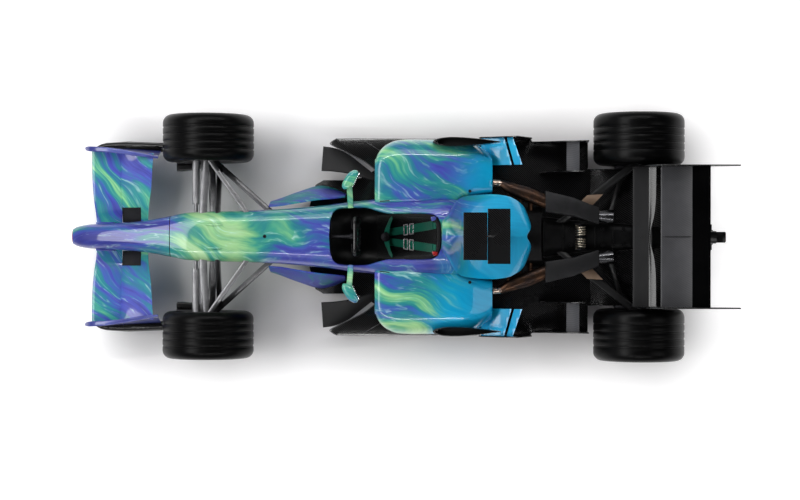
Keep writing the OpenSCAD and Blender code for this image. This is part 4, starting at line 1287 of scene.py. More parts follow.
        # painted shade: the slots and ports are black strips and plugs that stand in for the shade
        # inside these openings
        slot = ((1252, 246, 646), (1322, 252, 640), (1322, 259, 638), (1252, 253, 643))
        slots = slab([d.at(*point) for point in slot], mm(0, 0, 4), 1)
        ports = turned([(0, -12), (11, -12), (11, 2), (9, 4), (0, 3)],
                       d.at(1896, 327, 562), Vector((0.1, 0.1, 1)), 24, False)
        self.shop.piece("slots_and_ports", both_sides(slots, ports), INTERIOR)

    def mirrors(self) -> None:
        """Mirror shells on stalks with silvered glass facing back."""
        d = self.datum
        rows = smooth_rows([(334, 20, 8), (350, 44, 30), (385, 60, 46), (425, 58, 50),
                            (455, 40, 40), (469, 16, 14)], 9)
        rings = []
        for y, wide, high in rows:
            s = 1010 + (y - 334) * 0.5
            ring = []
            for a in turns(32):
                ahead = wide * 0.75 * power(math.cos(a), 2.3)
                ring.append(d.at(s - ahead, y, 715 + high / 2 * math.sin(a)))
            rings.append(ring)
        shells = both_sides(loft(rings))
        self.shop.piece("mirror_shells", shells, POD_LIVERY, replaces=["mirrors"])
        foot, head = d.at(1044, 205, 602), d.at(1034, 400, 708)
        along = (head - foot).normalized()
        fore = (Vector((1, 0, 0)) - along * along.x).normalized()
        up = along.cross(fore)
        ovals = [[foot.lerp(head, f) + (fore * 20 * math.cos(a) + up * 4.5 * math.sin(a)) * MM
                  for a in turns(24)] for f in (0.0, 0.35, 0.7, 1.0)]
        self.shop.piece("mirror_stalks", both_sides(loft(ovals)), POD_LIVERY)
        outline = ((1058, 352, 700), (1088, 410, 697), (1103, 448, 703), (1103, 448, 727),
                   (1088, 410, 734), (1058, 352, 730))
        pane = slab([d.at(*point) for point in outline], mm(-8, 0, 0), 2)
        self.shop.piece("mirror_glass_panes", both_sides(pane), MIRROR)


def wing(d: Datum, rows: Sequence[Row], step: float = 40.0, rear: bool = False,
         tip: Callable[[Vector], float] | None = None) -> Mesh:
    """Wing through foils at stations across the car.

    Args:
        d: the shared places.
        rows: y, leading edge station, height, chord, thickness, camber and pitch in degrees.
        step: largest spacing across the car.
        rear: True where the station counts from the rear axle.
        tip: gives the y of the end plate at a point, for the outer end.

    Returns:
        The closed wing.
    """
    rings = []
    table = smooth_rows(rows, step)
    for k, (y, s, z, chord, thick, camber, pitch) in enumerate(table):
        c, n = math.cos(math.radians(pitch)), math.sin(math.radians(pitch))
        x = (d.rear_x if rear else d.front_x) - s
        shape = foil(chord, thick, camber)
        ring = [Vector((x + q * c + h * n, y, z - q * n + h * c)) * MM for q, h in shape]
        if tip and k in (0, len(table) - 1) and abs(y) > 300:
            ring = [Vector((p.x, math.copysign(tip(p), y), p.z)) for p in ring]
        rings.append(ring)
    return loft(rings)


def panel(d: Datum, rows: Sequence[Row], thick: float, belly: float = 0.0,
          step: float = 18.0) -> Mesh:
    """Leaning panel with a rounded upper edge.

    Args:
        d: the shared places.
        rows: station s, y and z at the foot, y and z at the top.
        thick: thickness.
        belly: outward bow at half height.
        step: largest spacing along the car.

    Returns:
        The closed panel.
    """
    rings = []
    up = [k / 10 for k in range(11)]
    for s, y0, z0, y1, z1 in smooth_rows(rows, step):
        outer = [(y0 + (y1 - y0) * u + thick + belly * math.sin(math.pi * u), z0 + (z1 - z0) * u)
                 for u in up]
        inner = [(y - thick, z) for y, z in reversed(outer)]
        crown = [(y1 + thick / 2 + thick / 2 * math.cos(a), z1 + thick / 3 * math.sin(a))
                 for a in (math.pi * k / 4 for k in range(1, 4))]
        rings.append([d.at(s, y, z) for y, z in outer + crown + inner])
    return round_edges(loft(rings), 1.5, 50.0)


@dataclass
class FrontWing(Assembly):
    """Main plane, flaps, end plates and pylons of the front wing."""

    half_span: float = 640.0
    # columns: station s, y at the foot, y at the top, top height
    plate_rows: tuple = (
        (-903, 647, 645, 250), (-864, 646, 643, 300), (-760, 644, 636, 330), (-620, 640, 618, 345),
        (-480, 634, 594, 352), (-362, 627, 573, 352))
    plate_foot: float = 180.0
    plate_t: float = 10.0

    def build(self) -> None:
        """Builds the wing."""
        self.planes()
        self.plates()
        self.shop.dress("front_wing_pylons", LIVERY, width=3)

    def plate_y(self, p: Vector) -> float:
        """y of the end plate's inner face at a point, in metres."""
        s = self.datum.front_x - p.x / MM
        for a, b in zip(self.plate_rows, self.plate_rows[1:]):
            if s <= b[0] or b is self.plate_rows[-1]:
                t = min(max((s - a[0]) / (b[0] - a[0]), 0), 1)
                foot, top, high = (a[k] + (b[k] - a[k]) * t for k in (1, 2, 3))
                u = (p.z / MM - self.plate_foot) / (high - self.plate_foot)
                return (foot + (top - foot) * u + 3) * MM
        return self.half_span * MM

    def planes(self) -> None:
        """Main plane that dips under the nose, and two flaps with bare inner ends."""
        d = self.datum
        half = [(100, -838, 176, 190, 2), (170, -842, 190, 196, 2), (270, -852, 214, 208, 3),
                (430, -862, 226, 216, 4), (self.half_span, -864, 232, 218, 4)]
        rows = [(-y, *rest) for y, *rest in reversed(half)] + half
        main = wing(d, [(y, s, z, chord, 16, -6, pitch) for y, s, z, chord, pitch in rows],
                    tip=self.plate_y)
        self.shop.piece("front_main_plane", main, WING_LIVERY, replaces=["front_wing_main"])
        flaps = [(104, -640, 196, 206, 20), (214, -642, 226, 220, 21), (340, -646, 248, 246, 21),
                 (500, -648, 256, 258, 20), (self.half_span, -648, 256, 264, 18)]
        flap = wing(d, [(y, s, z, chord, 14, -8, pitch) for y, s, z, chord, pitch in flaps],
                    tip=self.plate_y)
        self.shop.piece("front_flaps", both_sides(flap), WING_LIVERY, replaces=["front_wing_flaps"])
        bare = wing(d, [(106, -641, 201, 150, 14, -7, 20), (160, -642, 216, 152, 14, -7, 20),
                        (212, -643, 231, 155, 14, -7, 21)])
        self.shop.piece("flap_inner_skins", both_sides(bare), SHIELD)

    def plates(self) -> None:
        """Leaning end plates on narrow foot plates."""
        d = self.datum
        rows = [(s, foot, self.plate_foot, top, z) for s, foot, top, z in self.plate_rows]
        plate = panel(d, rows, self.plate_t)
        foot_outline = [(-840, 660), (-770, 690), (-600, 700), (-350, 690), (-350, 622),
                        (-600, 634), (-840, 640)]
        foot = slab([d.at(s, y, 172) for s, y in foot_outline], mm(0, 0, 9), 2, 1)
        ledge_outline = [(-690, 650), (-560, 668), (-372, 668), (-372, 634), (-560, 640)]
        ledge = slab([d.at(s, y, 214) for s, y in ledge_outline], mm(0, 0, 6), 1.5, 1)
        tunnel = smooth_rows([(-838, 652, 10), (-800, 660, 22), (-700, 666, 28), (-520, 664, 30),
                              (-352, 655, 30)], 20)
        rings = [section(d.front_x - s, y, w, (174, 178, 180 + w * 0.75), (2, 2), 0, 40)
                 for s, y, w in tunnel]
        lip = smooth_rows([(-912, 640, 4, 250), (-904, 638, 13, 262), (-864, 634, 19, 302),
                           (-760, 627, 18, 332), (-620, 611, 16, 347), (-480, 588, 13, 354),
                           (-364, 569, 8, 354)], 16)
        lips = [section(d.front_x - s, y + 5, w, (z - 7, z, z + 6), (2.4, 2.4), 0, 28)
                for s, y, w, z in lip]
        whole = both_sides(plate, foot, ledge, loft(rings, 1, 1), loft(lips))
        self.shop.piece("front_end_plates", whole, [INDIGO, CARBON],
                        replaces=["front_wing_end_plates"])


@dataclass
class RearWing(Assembly):
    """Main plane, flap, beam wing, end plates and the light."""

    def build(self) -> None:
        """Builds the wing."""
        d = self.datum
        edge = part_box("rear_wing_planes")[1].y / MM
        ends = (-edge, edge)
        main = wing(d, [(y, 110, 690, 235, 24, -22, 14) for y in ends], 130, True)
        flap = wing(d, [(y, 322, 770, 128, 14, -10, 32) for y in ends], 130, True)
        lip = ((429, 836), (431.5, 836), (438, 852), (435.5, 853))
        gurney = upright(d.rear, lip, -edge, 2 * edge, 0.8, 1)
        line = ((114, 695), (122, 697.2), (133, 698.8), (150, 700.9), (180, 704.6), (210, 709.4),
                (247, 717.3), (280, 726.5), (300, 733.2), (322, 741.6), (322, 735), (280, 716),
                (210, 700), (133, 690))
        seam = upright(d.rear, line, -2.5, 5, 0.2, 2)
        # the main plane's grey carbon is painted sheen
        self.shop.piece("rear_main_and_flap", merged(main, coated(flap, 1), gurney, seam),
                        [SHEEN_PLANE_CARBON, BLACK_PAINT, INTERIOR], replaces=["rear_wing_planes"])
        self.shop.dress("rear_wing_end_plates", CARBON, width=3)
        beam = wing(d, [(y, -65, 500, 137, 16, -10, 10) for y in ends], 130, True)
        post = ((-40, 384), (40, 384), (45, 512), (-45, 505))
        posts = [upright(d.rear, post, y, 10, 2.5) for y in (-40, 30)]
        self.shop.piece("beam_plane", merged(beam, *posts), SOFT_CARBON, replaces=["beam_wing"])
        half = [(0, 12), (40, 14), (90, 26), (170, 44), (290, 54), (edge, 56)]
        chords = [(-y, chord) for y, chord in half[:0:-1]] + half
        second = wing(d, [(y, 40, 566, chord, 9, -5, 26) for y, chord in chords], 24, True)
        self.shop.piece("beam_flap", second, CARBON)
        outline = ((-62, 501), (-20, 512), (66, 524), (66, 518), (-20, 506))
        joint = upright(d.rear, outline, -1.5, 3, 0.4)
        self.shop.piece("beam_joint", joint, INTERIOR)
        self.shop.dress("crash_structure", CARBON, width=2)
        self.light()

    def light(self) -> None:
        """Rain light: a ribbed lens in a black case."""
        low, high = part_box("rear_light")
        case = block(low, high, 5, 0)
        inset = Vector((0, 8, 8)) * MM
        lens = block(Vector((low.x - 3 * MM, *(low + inset).yz)),
                     Vector((low.x + 6 * MM, *(high - inset).yz)), 2, 1)
        self.shop.piece("rain_light", merged(case, lens), [SATIN_CARBON, LENS],
                        replaces=["rear_light"])


@dataclass
class FloorPieces(Assembly):
    """Floor, plank, diffuser, boards and flip-ups."""

    edge: float = 719.0

    def build(self) -> None:
        """Builds the pieces."""
        d = self.datum
        shop = self.shop
        shop.dress("floor", CARBON, width=2.5)
        # painted highlight: thin grey metal rods along the floor's front edges and a joint line
        # stand in for the light those edges catch
        edge = ((1211, 497), (1130, 560), (1000, 625), (890, 680), (885, 700), (930, 728))
        edge_highlight_rod = sweep(curve([d.at(s, y, d.deck_z - 1) for s, y in edge], 5), 0.0035, 10)
        joint = sweep([d.at(1121, 716, d.deck_z), d.at(1262, 630, d.deck_z)], 0.003, 10)
        shop.piece("floor_edge_beads", both_sides(edge_highlight_rod, joint), GUNMETAL)
        shop.dress("plank", WOOD, width=2)
        shop.dress("diffuser", CARBON, width=1.5)
        shop.dress("radiators", CORE, width=2)
        deck = d.deck_z + 0.5
        boards = panel(d, [(450, 250, 262, 212, 480), (520, 276, 200, 216, 500),
                           (650, 326, 150, 236, 520), (816, 372, deck, 262, 520),
                           (910, 352, deck, 270, 490), (998, 312, deck, 282, 430)], 9, 6)
        shop.piece("barge_boards", both_sides(boards), BOARD_LIVERY, replaces=["bargeboards"])
        vanes = panel(d, [(827, 662, deck, 474, 420), (900, 652, deck, 470, 440),
                          (1010, 606, deck, 456, 440), (1110, 530, deck, 430, 425),
                          (1206, 455, deck, 401, 400)], 9)
        shop.piece("turning_vanes", both_sides(vanes), VANE_CARBON, replaces=["deflectors"])
        self.flip_ups()

    def flip_ups(self) -> None:
        """Cyan winglets ahead of the rear tyres, split by a slanted slot, with black fences."""
        d = self.datum
        y1, y2, deck = self.edge + 1, self.edge - 27, d.deck_z + 0.5
        rows = [(y, 1988, 328, 330, 14, -14, 28) for y in (521, y1)]
        first = self.trimmed(wing(d, rows, 20), 2208, 2144, True)
        second = self.trimmed(self.trimmed(wing(d, rows, 20), 2226, 2162, False), 2283, 2204, True)
        # the third plane's grey carbon is painted sheen
        third = coated(wing(d, [(y, 2609, 330, 116, 10, -10, 42) for y in (478, y2)]), 1)
        outlines = [
            (self.edge, ((1970, 300), (1978, 350), (2080, 405), (2160, 465), (2240, 505),
                         (2360, 300), (2360, deck), (2060, deck))),
            (y2 - 1, ((2380, 260), (2520, 340), (2600, 395), (2760, 460), (2775, 250), (2775, deck),
                      (2380, deck))),
            (472, ((2430, 150), (2500, 280), (2590, 390), (2730, 450), (2750, 300), (2750, deck),
                   (2430, deck)))]
        fences = [upright(d.at, points, y, 8, 2, 2) for y, points in outlines]
        whole = both_sides(first, second, third, *fences)
        self.shop.piece("flip_up_wings", whole, [CYAN, SHEEN_FLIP_CARBON, CARBON], replaces=["flip_ups"])

    def trimmed(self, bm: Mesh, inner: float, outer: float, front: bool) -> Mesh:
        """Cuts a wing along an upright slanted plane.

        Args:
            bm: the wing.
            inner: station of the plane at y 500.
            outer: station of the plane at y 740.
            front: True to keep what is ahead of the plane.

        Returns:
            The wing with its cut closed and rounded.
        """
        start, end = self.datum.at(inner, 500, 0), self.datum.at(outer, 740, 0)
        bmesh.ops.bisect_plane(
            bm, geom=bm.verts[:] + bm.edges[:] + bm.faces[:], plane_co=start,
            plane_no=(end - start).cross(UP), clear_inner=front, clear_outer=not front)
        bmesh.ops.holes_fill(bm, edges=bm.edges[:], sides=0)
        return round_edges(bm, 1.5, 60.0)


@dataclass
class Cockpit(Assembly):
    """Seat, belts, steering wheel and padding."""

    strap_half: float = 28.0
    # columns: station s, half width, height of the cushion, height of its side
    seat_rows: tuple = (
        (1230, 165, 190, 130), (1330, 170, 160, 150), (1430, 172, 165, 200), (1500, 172, 215, 230),
        (1580, 168, 330, 200), (1660, 150, 520, 90))
    # columns: station s, y of a strap's middle, height of its underside
    strap_rows: tuple = (
        (1300, 31, 186), (1380, 44, 179), (1430, 51, 181.5), (1500, 62, 231.5), (1580, 74, 346.5),
        (1655, 86, 524.7))

    def build(self) -> None:
        """Builds the cockpit."""
        self.seat()
        self.belts()
        self.steering_wheel()
        self.dashboard()
        self.headrest()

    def seat(self) -> None:
        """Padded bucket seat: a crowned shell with bolsters and rolled edges."""
        d = self.datum
        rings = []
        for s, w, z, side in smooth_rows(self.seat_rows, 12):
            ring = []
            for k in range(41):
                u = -1 + k / 20
                lift = abs(u) ** 5 * side + 26 * abs(u) ** 2.2
                quilt = 3 * math.cos(math.pi * u * 2.5) * (1 - abs(u))
                ring.append((u * w * (1 - 0.05 * abs(u) ** 6), z + 4 + lift - quilt))
            under = [(y * 1.07, zz - 13 - 4 * (1 - abs(y) / w)) for y, zz in reversed(ring)]
            rings.append([d.at(s, y, zz) for y, zz in ring + under])
        pad = self.shop.piece("bucket_seat", round_edges(loft(rings), 4, 60, 3), CLOTH,
                              replaces=["seat"])

    def strap(self, rows: Sequence[Row], half: float, thick: float, lift: float,
              finish: int) -> Mesh:
        """Flat strap through rows of station, y and height, with rounded sides."""
        d = self.datum
        rings = []
        profile = [(1, 0.25), (1, 0.75), (0.93, 1), (0, 1.12), (-0.93, 1), (-1, 0.75), (-1, 0.25),
                   (-0.93, 0), (0, 0), (0.93, 0)]
        points = [d.at(*row) for row in smooth_rows(rows, 10)]
        for k, p in enumerate(points):
            along = heading(points, k)
            side = LEFTWARD - along * along.y
            side.normalize()
            up = along.cross(side) * (1 if along.cross(side).z > 0 else -1)
            rings.append([p + (side * half * a + up * (thick * b + lift)) * MM for a, b in profile])
        return loft(rings, finish, finish)

    def belts(self) -> None:
        """Two shoulder straps in a V with pads and buckles, lap straps and the central buckle."""
        d = self.datum
        rows = self.strap_rows
        web = self.strap(rows, self.strap_half, 4, 0, 0)
        pad_rows = [(1512, 64, 249), rows[4], (1640, 83.5, 489)]
        pad = self.strap(pad_rows, self.strap_half + 3, 9, 3, 1)
        tail = self.strap([(1455, 55, 199), (1500, 62, 231.5)], self.strap_half - 2, 4, 4, 0)
        self.shop.piece("shoulder_straps", both_sides(web, pad, tail), [STRAP, PAD_STRAP],
                        replaces=["belts"])
        lap_rows = [(1296, 24, 196), (1310, 70, 206), (1326, 118, 236), (1340, 150, 280)]
        lap = self.strap(lap_rows, 22, 4, 0, 0)
        self.shop.piece("lap_straps", both_sides(lap), STRAP)
        pitch = math.radians(26)
        back = Vector((-math.cos(pitch), 0.15, math.sin(pitch))).normalized()
        up = Vector((math.sin(pitch), 0, math.cos(pitch)))
        corners = [(-15, -37), (-15, 37), (15, 37), (15, -37), (-15, -37)]
        frames = []
        for s, y, z in ((1442, 53, 190), (1484, 59, 219)):
            centre = d.at(s, y, z) + up * 9 * MM
            loop = [centre + back * a * MM + mm(0, b, 0) for a, b in corners]
            frames += [sweep([p, q], 0.0045, 10) for p, q in zip(loop, loop[1:])]
        self.shop.piece("strap_buckles", both_sides(*frames), BRIGHT)
        puck = [(0, -10), (33, -10), (35, -6), (35, 6), (31, 11), (14, 13), (12, 17), (0, 18)]
        lock = turned(puck, d.at(1290, 0, 204), Vector((0.15, 0, 1)), 40, False)
        self.shop.piece("belt_lock", lock, DARK_ALLOY)

    def steering_wheel(self) -> None:
        """Steering wheel with moulded grips, a flat face, buttons and a quick-release hub."""
        d = self.datum
        tilt = math.radians(12)
        centre = d.at(1070, 0, 600)
        ahead = Vector((math.cos(tilt), 0, -math.sin(tilt)))
        up = Vector((math.sin(tilt), 0, math.cos(tilt)))

        def spot(y: float, h: float, f: float) -> Vector:
            """Point across, up and ahead on the wheel's plane, in millimetres."""
            return centre + (Vector((0, y, 0)) + up * h + ahead * f) * MM

        grips = []
        grip = ((92, 66), (118, 58), (127, 25), (127, -20), (116, -58), (92, -70))
        for k in (-1, 1):
            smooth = curve([spot(k * y, h, -16) for y, h in grip], 6)
            swell = [0.013 + 0.005 * math.sin(math.pi * i / (len(smooth) - 1))
                     for i in range(len(smooth))]
            grips.append(sweep(smooth, swell, 14, 0))
        plate = ((-100, 62), (-40, 60), (40, 60), (100, 62), (96, 8), (84, -64), (-84, -64),
                 (-96, 8))
        face = slab([spot(y, h, -30) for y, h in plate], ahead * 26 * MM, 5, 0)
        buttons = ((-70, 40, 9), (70, 40, 9), (-74, 8, 7), (74, 8, 7), (-52, -36, 8), (52, -36, 8),
                   (0, -44, 8), (-28, -40, 6), (28, -40, 6))
        knobs = []
        for y, h, r in buttons:
            knob = [(0, 0), (r, 0), (r, 6), (r - 1.5, 8), (0, 8)]
            knobs.append(turned(knob, spot(y, h, -30), -ahead, 18, False, 1))
        window = ((-40, 44), (40, 44), (40, 6), (-40, 6))
        screen = slab([spot(y, h, -31) for y, h in window], ahead * -2.5 * MM, 1, 2)
        boss = [(0, -6), (22, -6), (26, 0), (26, 26), (18, 30), (16, 60), (14, 62), (14, 200),
                (0, 200)]
        hub = turned(boss, spot(0, 0, 0), ahead, 36, False, 1)
        paddle = ((52, 26), (108, 34), (112, -6), (60, -14))
        paddles = [slab([spot(k * y, h, 10) for y, h in paddle], ahead * 4 * MM, 1.5, 0)
                   for k in (-1, 1)]
        whole = merged(*grips, face, *knobs, screen, hub, *paddles)
        self.shop.piece("wheel_and_grips", whole, [SATIN_CARBON, DARK_ALLOY, MIRROR], "hand_wheel",
                        ["steering_wheel"])

    def dashboard(self) -> None:
        """Dash hoop under the front edge of the opening."""
        d = self.datum
        rings = []
        for s, drop in ((886, 0), (894, 4), (900, 14), (902, 40), (898, 70), (886, 84)):
            rings.append([d.at(s, y, 622 - drop - 0.0011 * y * y) for y in range(-170, 171, 10)])
        skin = Skin(rings[0], closed=False)
        for ring in rings[1:]:
            skin.draw(ring)
        bm = skin.bm
        bmesh.ops.recalc_face_normals(bm, faces=bm.faces[:])
        bmesh.ops.solidify(bm, geom=bm.faces[:], thickness=3 * MM)
        self.shop.piece("dash_hoop", bm, INTERIOR)

    def headrest(self) -> None:
        """Padded head surround along the rear of the opening, with two coloured pull tabs."""
        d = self.datum
        half = [(1420, 150, 628), (1540, 150, 636), (1625, 138, 646), (1668, 90, 650)]
        bend = [*half, (1676, 0, 652), *((s, -y, z) for s, y, z in reversed(half))]
        path = curve([d.at(*point) for point in bend], 10)
        rise, drop = Vector((0, 0, 46)), Vector((0, 0, 20))
        rings = []
        for k, p in enumerate(path):
            side = heading(path, k).cross(UP).normalized()
            end = min(1.0, 0.35 + min(k, len(path) - 1 - k) / 6)
            ring = []
            for a in turns(20):
                shape = side * 15 * power(math.cos(a), 3) + rise * power(math.sin(a), 3) - drop
                ring.append(p + shape * end * MM)
            rings.append(ring)
        pad = self.shop.piece("head_surround", loft(rings), CLOTH)
        tabs = [(RED, 126, 1646, "red_pull_tab"), (INDIGO, -122, 1636, "blue_pull_tab")]
        corners = ((-22, -20, 664), (-16, 14, 664), (14, 6, 666), (18, -18, 668))
        for coat, y, s, name in tabs:
            tab = slab([d.at(s + back, y + left, z) for back, left, z in corners], mm(0, 0, 8), 3)
            self.shop.piece(name, tab, coat)


@dataclass
class PowerUnit(Assembly):
    """Engine block, exhausts, gearbox, springs and heat shields."""

    def build(self) -> None:
        """Builds the pieces."""
        self.shop.dress("engine_block", CAST_ALLOY, width=4)
        self.shop.dress("heat_shields", SHIELD, width=4)
        self.gearbox()
        self.exhausts()
        self.springs()

    def gearbox(self) -> None:
        """Cast gearbox case with ribs and bosses."""
        d = self.datum
        rows = smooth_rows([(-705, 150, 130, 400), (-400, 118, 135, 410), (-60, 96, 150, 415),
                            (160, 70, 250, 400)], 25)
        rings = [section(d.rear_x - r, 0, w, (z0, (z0 + z1) / 2, z1), (4, 4), 0, 64)
                 for r, w, z0, z1 in rows]
        ribs = []
        for r, w, z1 in ((-560, 136, 406), (-330, 113, 412), (-200, 106, 413), (40, 86, 410)):
            arch = ((-w + 26, z1 - 4), (-w * 0.4, z1 + 9), (w * 0.4, z1 + 9), (w - 26, z1 - 4))
            ribs.append(slab([d.rear(r, y, z) for y, z in arch], mm(-9, 0, 0), 2))
        boss = [(0, -8), (17, -8), (17, 8), (14, 11), (0, 11)]
        bosses = [turned(boss, d.rear(r, y, 410), UP, 24, False)
                  for r in (-500, -270, -120) for y in (-58, 58)]
        self.shop.piece("gearbox_case", merged(loft(rings), *ribs, *bosses), CAST_ALLOY,
                        replaces=["gearbox"])

    def exhausts(self) -> None:
        """Bronzed shrouds with polished collars over the primaries, and the chrome tailpipes."""
        d = self.datum
        rows = smooth_rows([(2118, 384, 29), (2160, 360, 42), (2230, 332, 50), (2325, 300, 57),
                            (2450, 252, 53)], 16)
        z = 480
        rings = [section(d.front_x - s, y, w, (z - 0.8 * w, z, z + 0.8 * w), (2.2, 2.2), 0, 48)
                 for s, y, w in rows]
        band = [(14, 0), (25, 0), (25, 10), (27, 11), (27, 17), (25, 18), (25, 62), (14, 62)]
        collar = turned(band, d.at(2066, 388, z), Vector((-1, -0.065, 0)), 40, True, 1)
        pipes = [sweep([d.at(s, 150, z - 29), d.at(s, y, z)], 0.019, 20)
                 for s, y in ((2180, 345), (2258, 319), (2336, 293))]
        whole = both_sides(loft(rings), collar, *pipes)
        self.shop.piece("exhaust_shrouds", whole, [BRONZE, COLLAR], replaces=["exhausts"])
        toe = Matrix.Rotation(math.radians(4), 3, "Z")
        lean = Matrix.Rotation(math.radians(-85), 3, "Y")
        bell = [(20, 0), (38, 4), (42, 30), (48, 70), (54, 118), (53, 121), (50, 119), (44, 70),
                (38, 30), (30, 14)]
        pipe = turned(bell, d.at(2810, 150, 494), toe @ lean @ UP, 48, True)
        self.shop.piece("chrome_tailpipes", both_sides(pipe), DARK_CHROME, replaces=["tailpipes"])

    def springs(self) -> None:
        """Coil springs over their dampers, with end cups on brackets."""
        d = self.datum
        r0, z0 = -435, 456
        coils, steps, coil_r = 4, 28, 33
        path = []
        for i in range(coils * steps + 1):
            a = 2 * math.pi * i / steps
            y = 12 + 70 * a / (2 * math.pi * coils)
            path.append(d.rear(r0 - coil_r * math.cos(a), y, z0 + coil_r * math.sin(a)))
        coil = sweep(path, 0.0055, 10, 1)
        cup = turned([(0, 0), (38, 0), (42, 2), (42, 6), (38, 8), (0, 8)], d.rear(r0, 88, z0),
                     LEFTWARD, 40, False)
        post = block(d.rear(r0 + 12, 88, 372), d.rear(r0 - 12, 96, 452), 2)
        tube = [(0, -96), (12, -96), (12, -60), (19, -58), (19, 58), (12, 60), (12, 96), (0, 96)]
        damper = turned(tube, d.rear(r0, 0, z0), LEFTWARD, 28, False)
        whole = merged(both_sides(coil, cup, post), damper)
        self.shop.piece("springs_and_dampers", whole, [DARK_ALLOY, SPRING],
                        replaces=["coil_springs"])


@dataclass
class Suspension(Assembly):
    """Arms, rods, uprights, knuckles and the steering rack."""

    def build(self) -> None:
        """Dresses each node and adds the heat guards and the brake ducts."""
        blades = (
            ("front_upper_arms", SILVER), ("front_lower_arms", GUNMETAL),
            ("front_pushrods", GUNMETAL), ("rear_upper_arms", DULL_CARBON),
            ("rear_lower_arms", SATIN_CARBON), ("rear_pushrods", DULL_CARBON))
        for node, finish in blades:
            self.shop.dress(node, finish, width=0.8, angle=50)
        self.shop.dress("rear_uprights", DARK_ALLOY, width=3)
        self.shop.dress("driveshafts", SHAFT_STEEL, width=0)
        for side in Side:
            knuckle = "knuckle_" + side.label
            self.shop.dress(knuckle, DARK_ALLOY, knuckle, 2)
        self.shop.dress("steering_rack", SILVER, "rack", 1.0, 50)
        self.heat_guards()
        self.ducts()

    def heat_guards(self) -> None:
        """Flat heat guards on the front legs of the rear upper arms."""
        d = self.datum
        outline = ((2673, 226), (2749, 302), (2864, 309), (2781, 221))
        corners = [d.at(s, y, 380 + 60 * (y - 85) / 460 + 13) for s, y in outline]
        guard = slab(corners, mm(0, 0, 9), 2)
        self.shop.piece("arm_heat_guards", both_sides(guard), GOLD_WRAP)

    def ducts(self) -> None:
        """Brake ducts inside the front wheels, which steer with the knuckles."""
        d = self.datum
        rows = [(-226, 500, 25, 46), (-190, 500, 26, 48), (-130, 505, 26, 48), (-60, 516, 22, 44)]
        z = 326
        for side in Side:
            rings = [section(d.front_x - s, y * side.value, w, (z - h, z, z + h), (5, 5), 0, 48)
                     for s, y, w, h in smooth_rows(rows, 14)]
            inner = [[p.lerp(sum(ring, Vector()) / len(ring), 0.14) for p in ring]
                     for ring in rings[:6]]
            bm = loft(inner[::-1] + rings, [1] * 5 + [0] * len(rings), 1)
            self.shop.piece(
                f"brake_duct_{side.label}", bm, [SATIN_CARBON, INTERIOR], f"knuckle_{side.label}")


@dataclass
class Wheel(Assembly):
    """One wheel: grooved tyre and spoked rim."""

    name: str
    side: Side
    rim_r: float = 165.0
    shoulder: float = 60.0
    groove_w: float = 14.0
    groove_depth: float = 4.0
    groove_pitch: float = 53.0
    spokes: int = 7

    def __post_init__(self) -> None:
        """Reads the wheel's place and size from its tyre's CAD node."""
        low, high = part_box("tyre_" + self.name)
        self.centre = (low + high) / 2
        self.radius = (high.z - low.z) / 2 / MM
        self.half = (high.y - low.y) / 2 / MM
        self.axis = Vector((0, self.side.value, 0))

    def build(self) -> None:
        """Builds the tyre and the rim."""
        self.tyre()
        self.rim()

    def tyre(self) -> None:
        """Tyre with four grooves round the tread, rounded shoulders and ribbed sidewalls."""
        h, r = self.half, self.radius
        side = [(self.rim_r + 0.5, h - 22), (self.rim_r + 3, h - 15), (178, h - 9), (190, h - 5),
                (199, h - 3.2), (201, h - 2.0), (204, h - 2.0), (206, h - 2.4), (216, h - 0.8),
                (230, h), (250, h - 0.1)]
        bend = [math.pi / 2 * k / 12 for k in range(1, 13)]
        k0 = self.shoulder
        side += [(r - k0 + k0 * math.sin(a), h - k0 + k0 * math.cos(a)) for a in bend]
        tread = []
        for k in (1.5, 0.5):
            middle, w, floor = k * self.groove_pitch, self.groove_w / 2, r - self.groove_depth
            tread += [(r, middle + w + 1.6), (r - 0.7, middle + w + 0.3), (floor, middle + w - 1.2),
                      (floor, middle - w + 1.2), (r - 0.7, middle - w - 0.3), (r, middle - w - 1.6)]
        half = side + tread
        profile = half + [(rr, -y) for rr, y in reversed(half)]
        bm = turned(profile, self.centre, self.axis, 144, True)
        self.shop.piece(f"tyre_{self.name}_tread", bm, RUBBER, "wheel_" + self.name,
                        ["tyre_" + self.name], 50)

    def rim(self) -> None:
        """Rim barrel, tapered spokes, hub and centre nut."""
        h, r = self.half, self.rim_r
        face = h - 70
        barrel = [(r, h - 30), (r + 4, h - 16), (r + 5, h - 10), (r + 1, h - 8), (r - 6, h - 12),
                  (r - 12, h - 24), (r - 13, face + 4), (r - 22, face), (r - 22, face - 28),
                  (r - 13, face - 34), (r - 12, -h + 26), (r - 6, -h + 14), (r + 2, -h + 10),
                  (r + 5, -h + 12), (r + 4, -h + 18), (r - 1, -h + 32)]
        hub = [(32, face - 75), (52, face - 72), (52, face - 8), (46, face), (33, face),
               (33, face - 20)]
        nut = [(0, face + 27), (16, face + 27), (18, face + 22), (30, face + 18), (33, face + 12),
               (34, face - 6), (0, face - 6)]
        parts = [turned(barrel, self.centre, self.axis, 96, True),
                 turned(hub, self.centre, self.axis, 48, True),
                 turned(nut, self.centre, self.axis, 6, False, 1)]
        flat = [(44, 17), (90, 12), (r - 20, 15), (r - 20, -15), (90, -12), (44, -17)]
        for a in turns(self.spokes):
            turn = Matrix.Rotation(a, 3, self.axis)
            points = [self.centre + turn @ (Vector((x, 0, z)) + self.axis * (face - 26)) * MM
                      for x, z in flat]
            parts.append(slab(points, self.axis * 22 * MM, 5))
        whole = merged(*parts)
        self.shop.piece(f"rim_{self.name}_alloy", whole, [RIM_ALLOY, BRIGHT], "wheel_" + self.name,
                        ["rim_" + self.name])


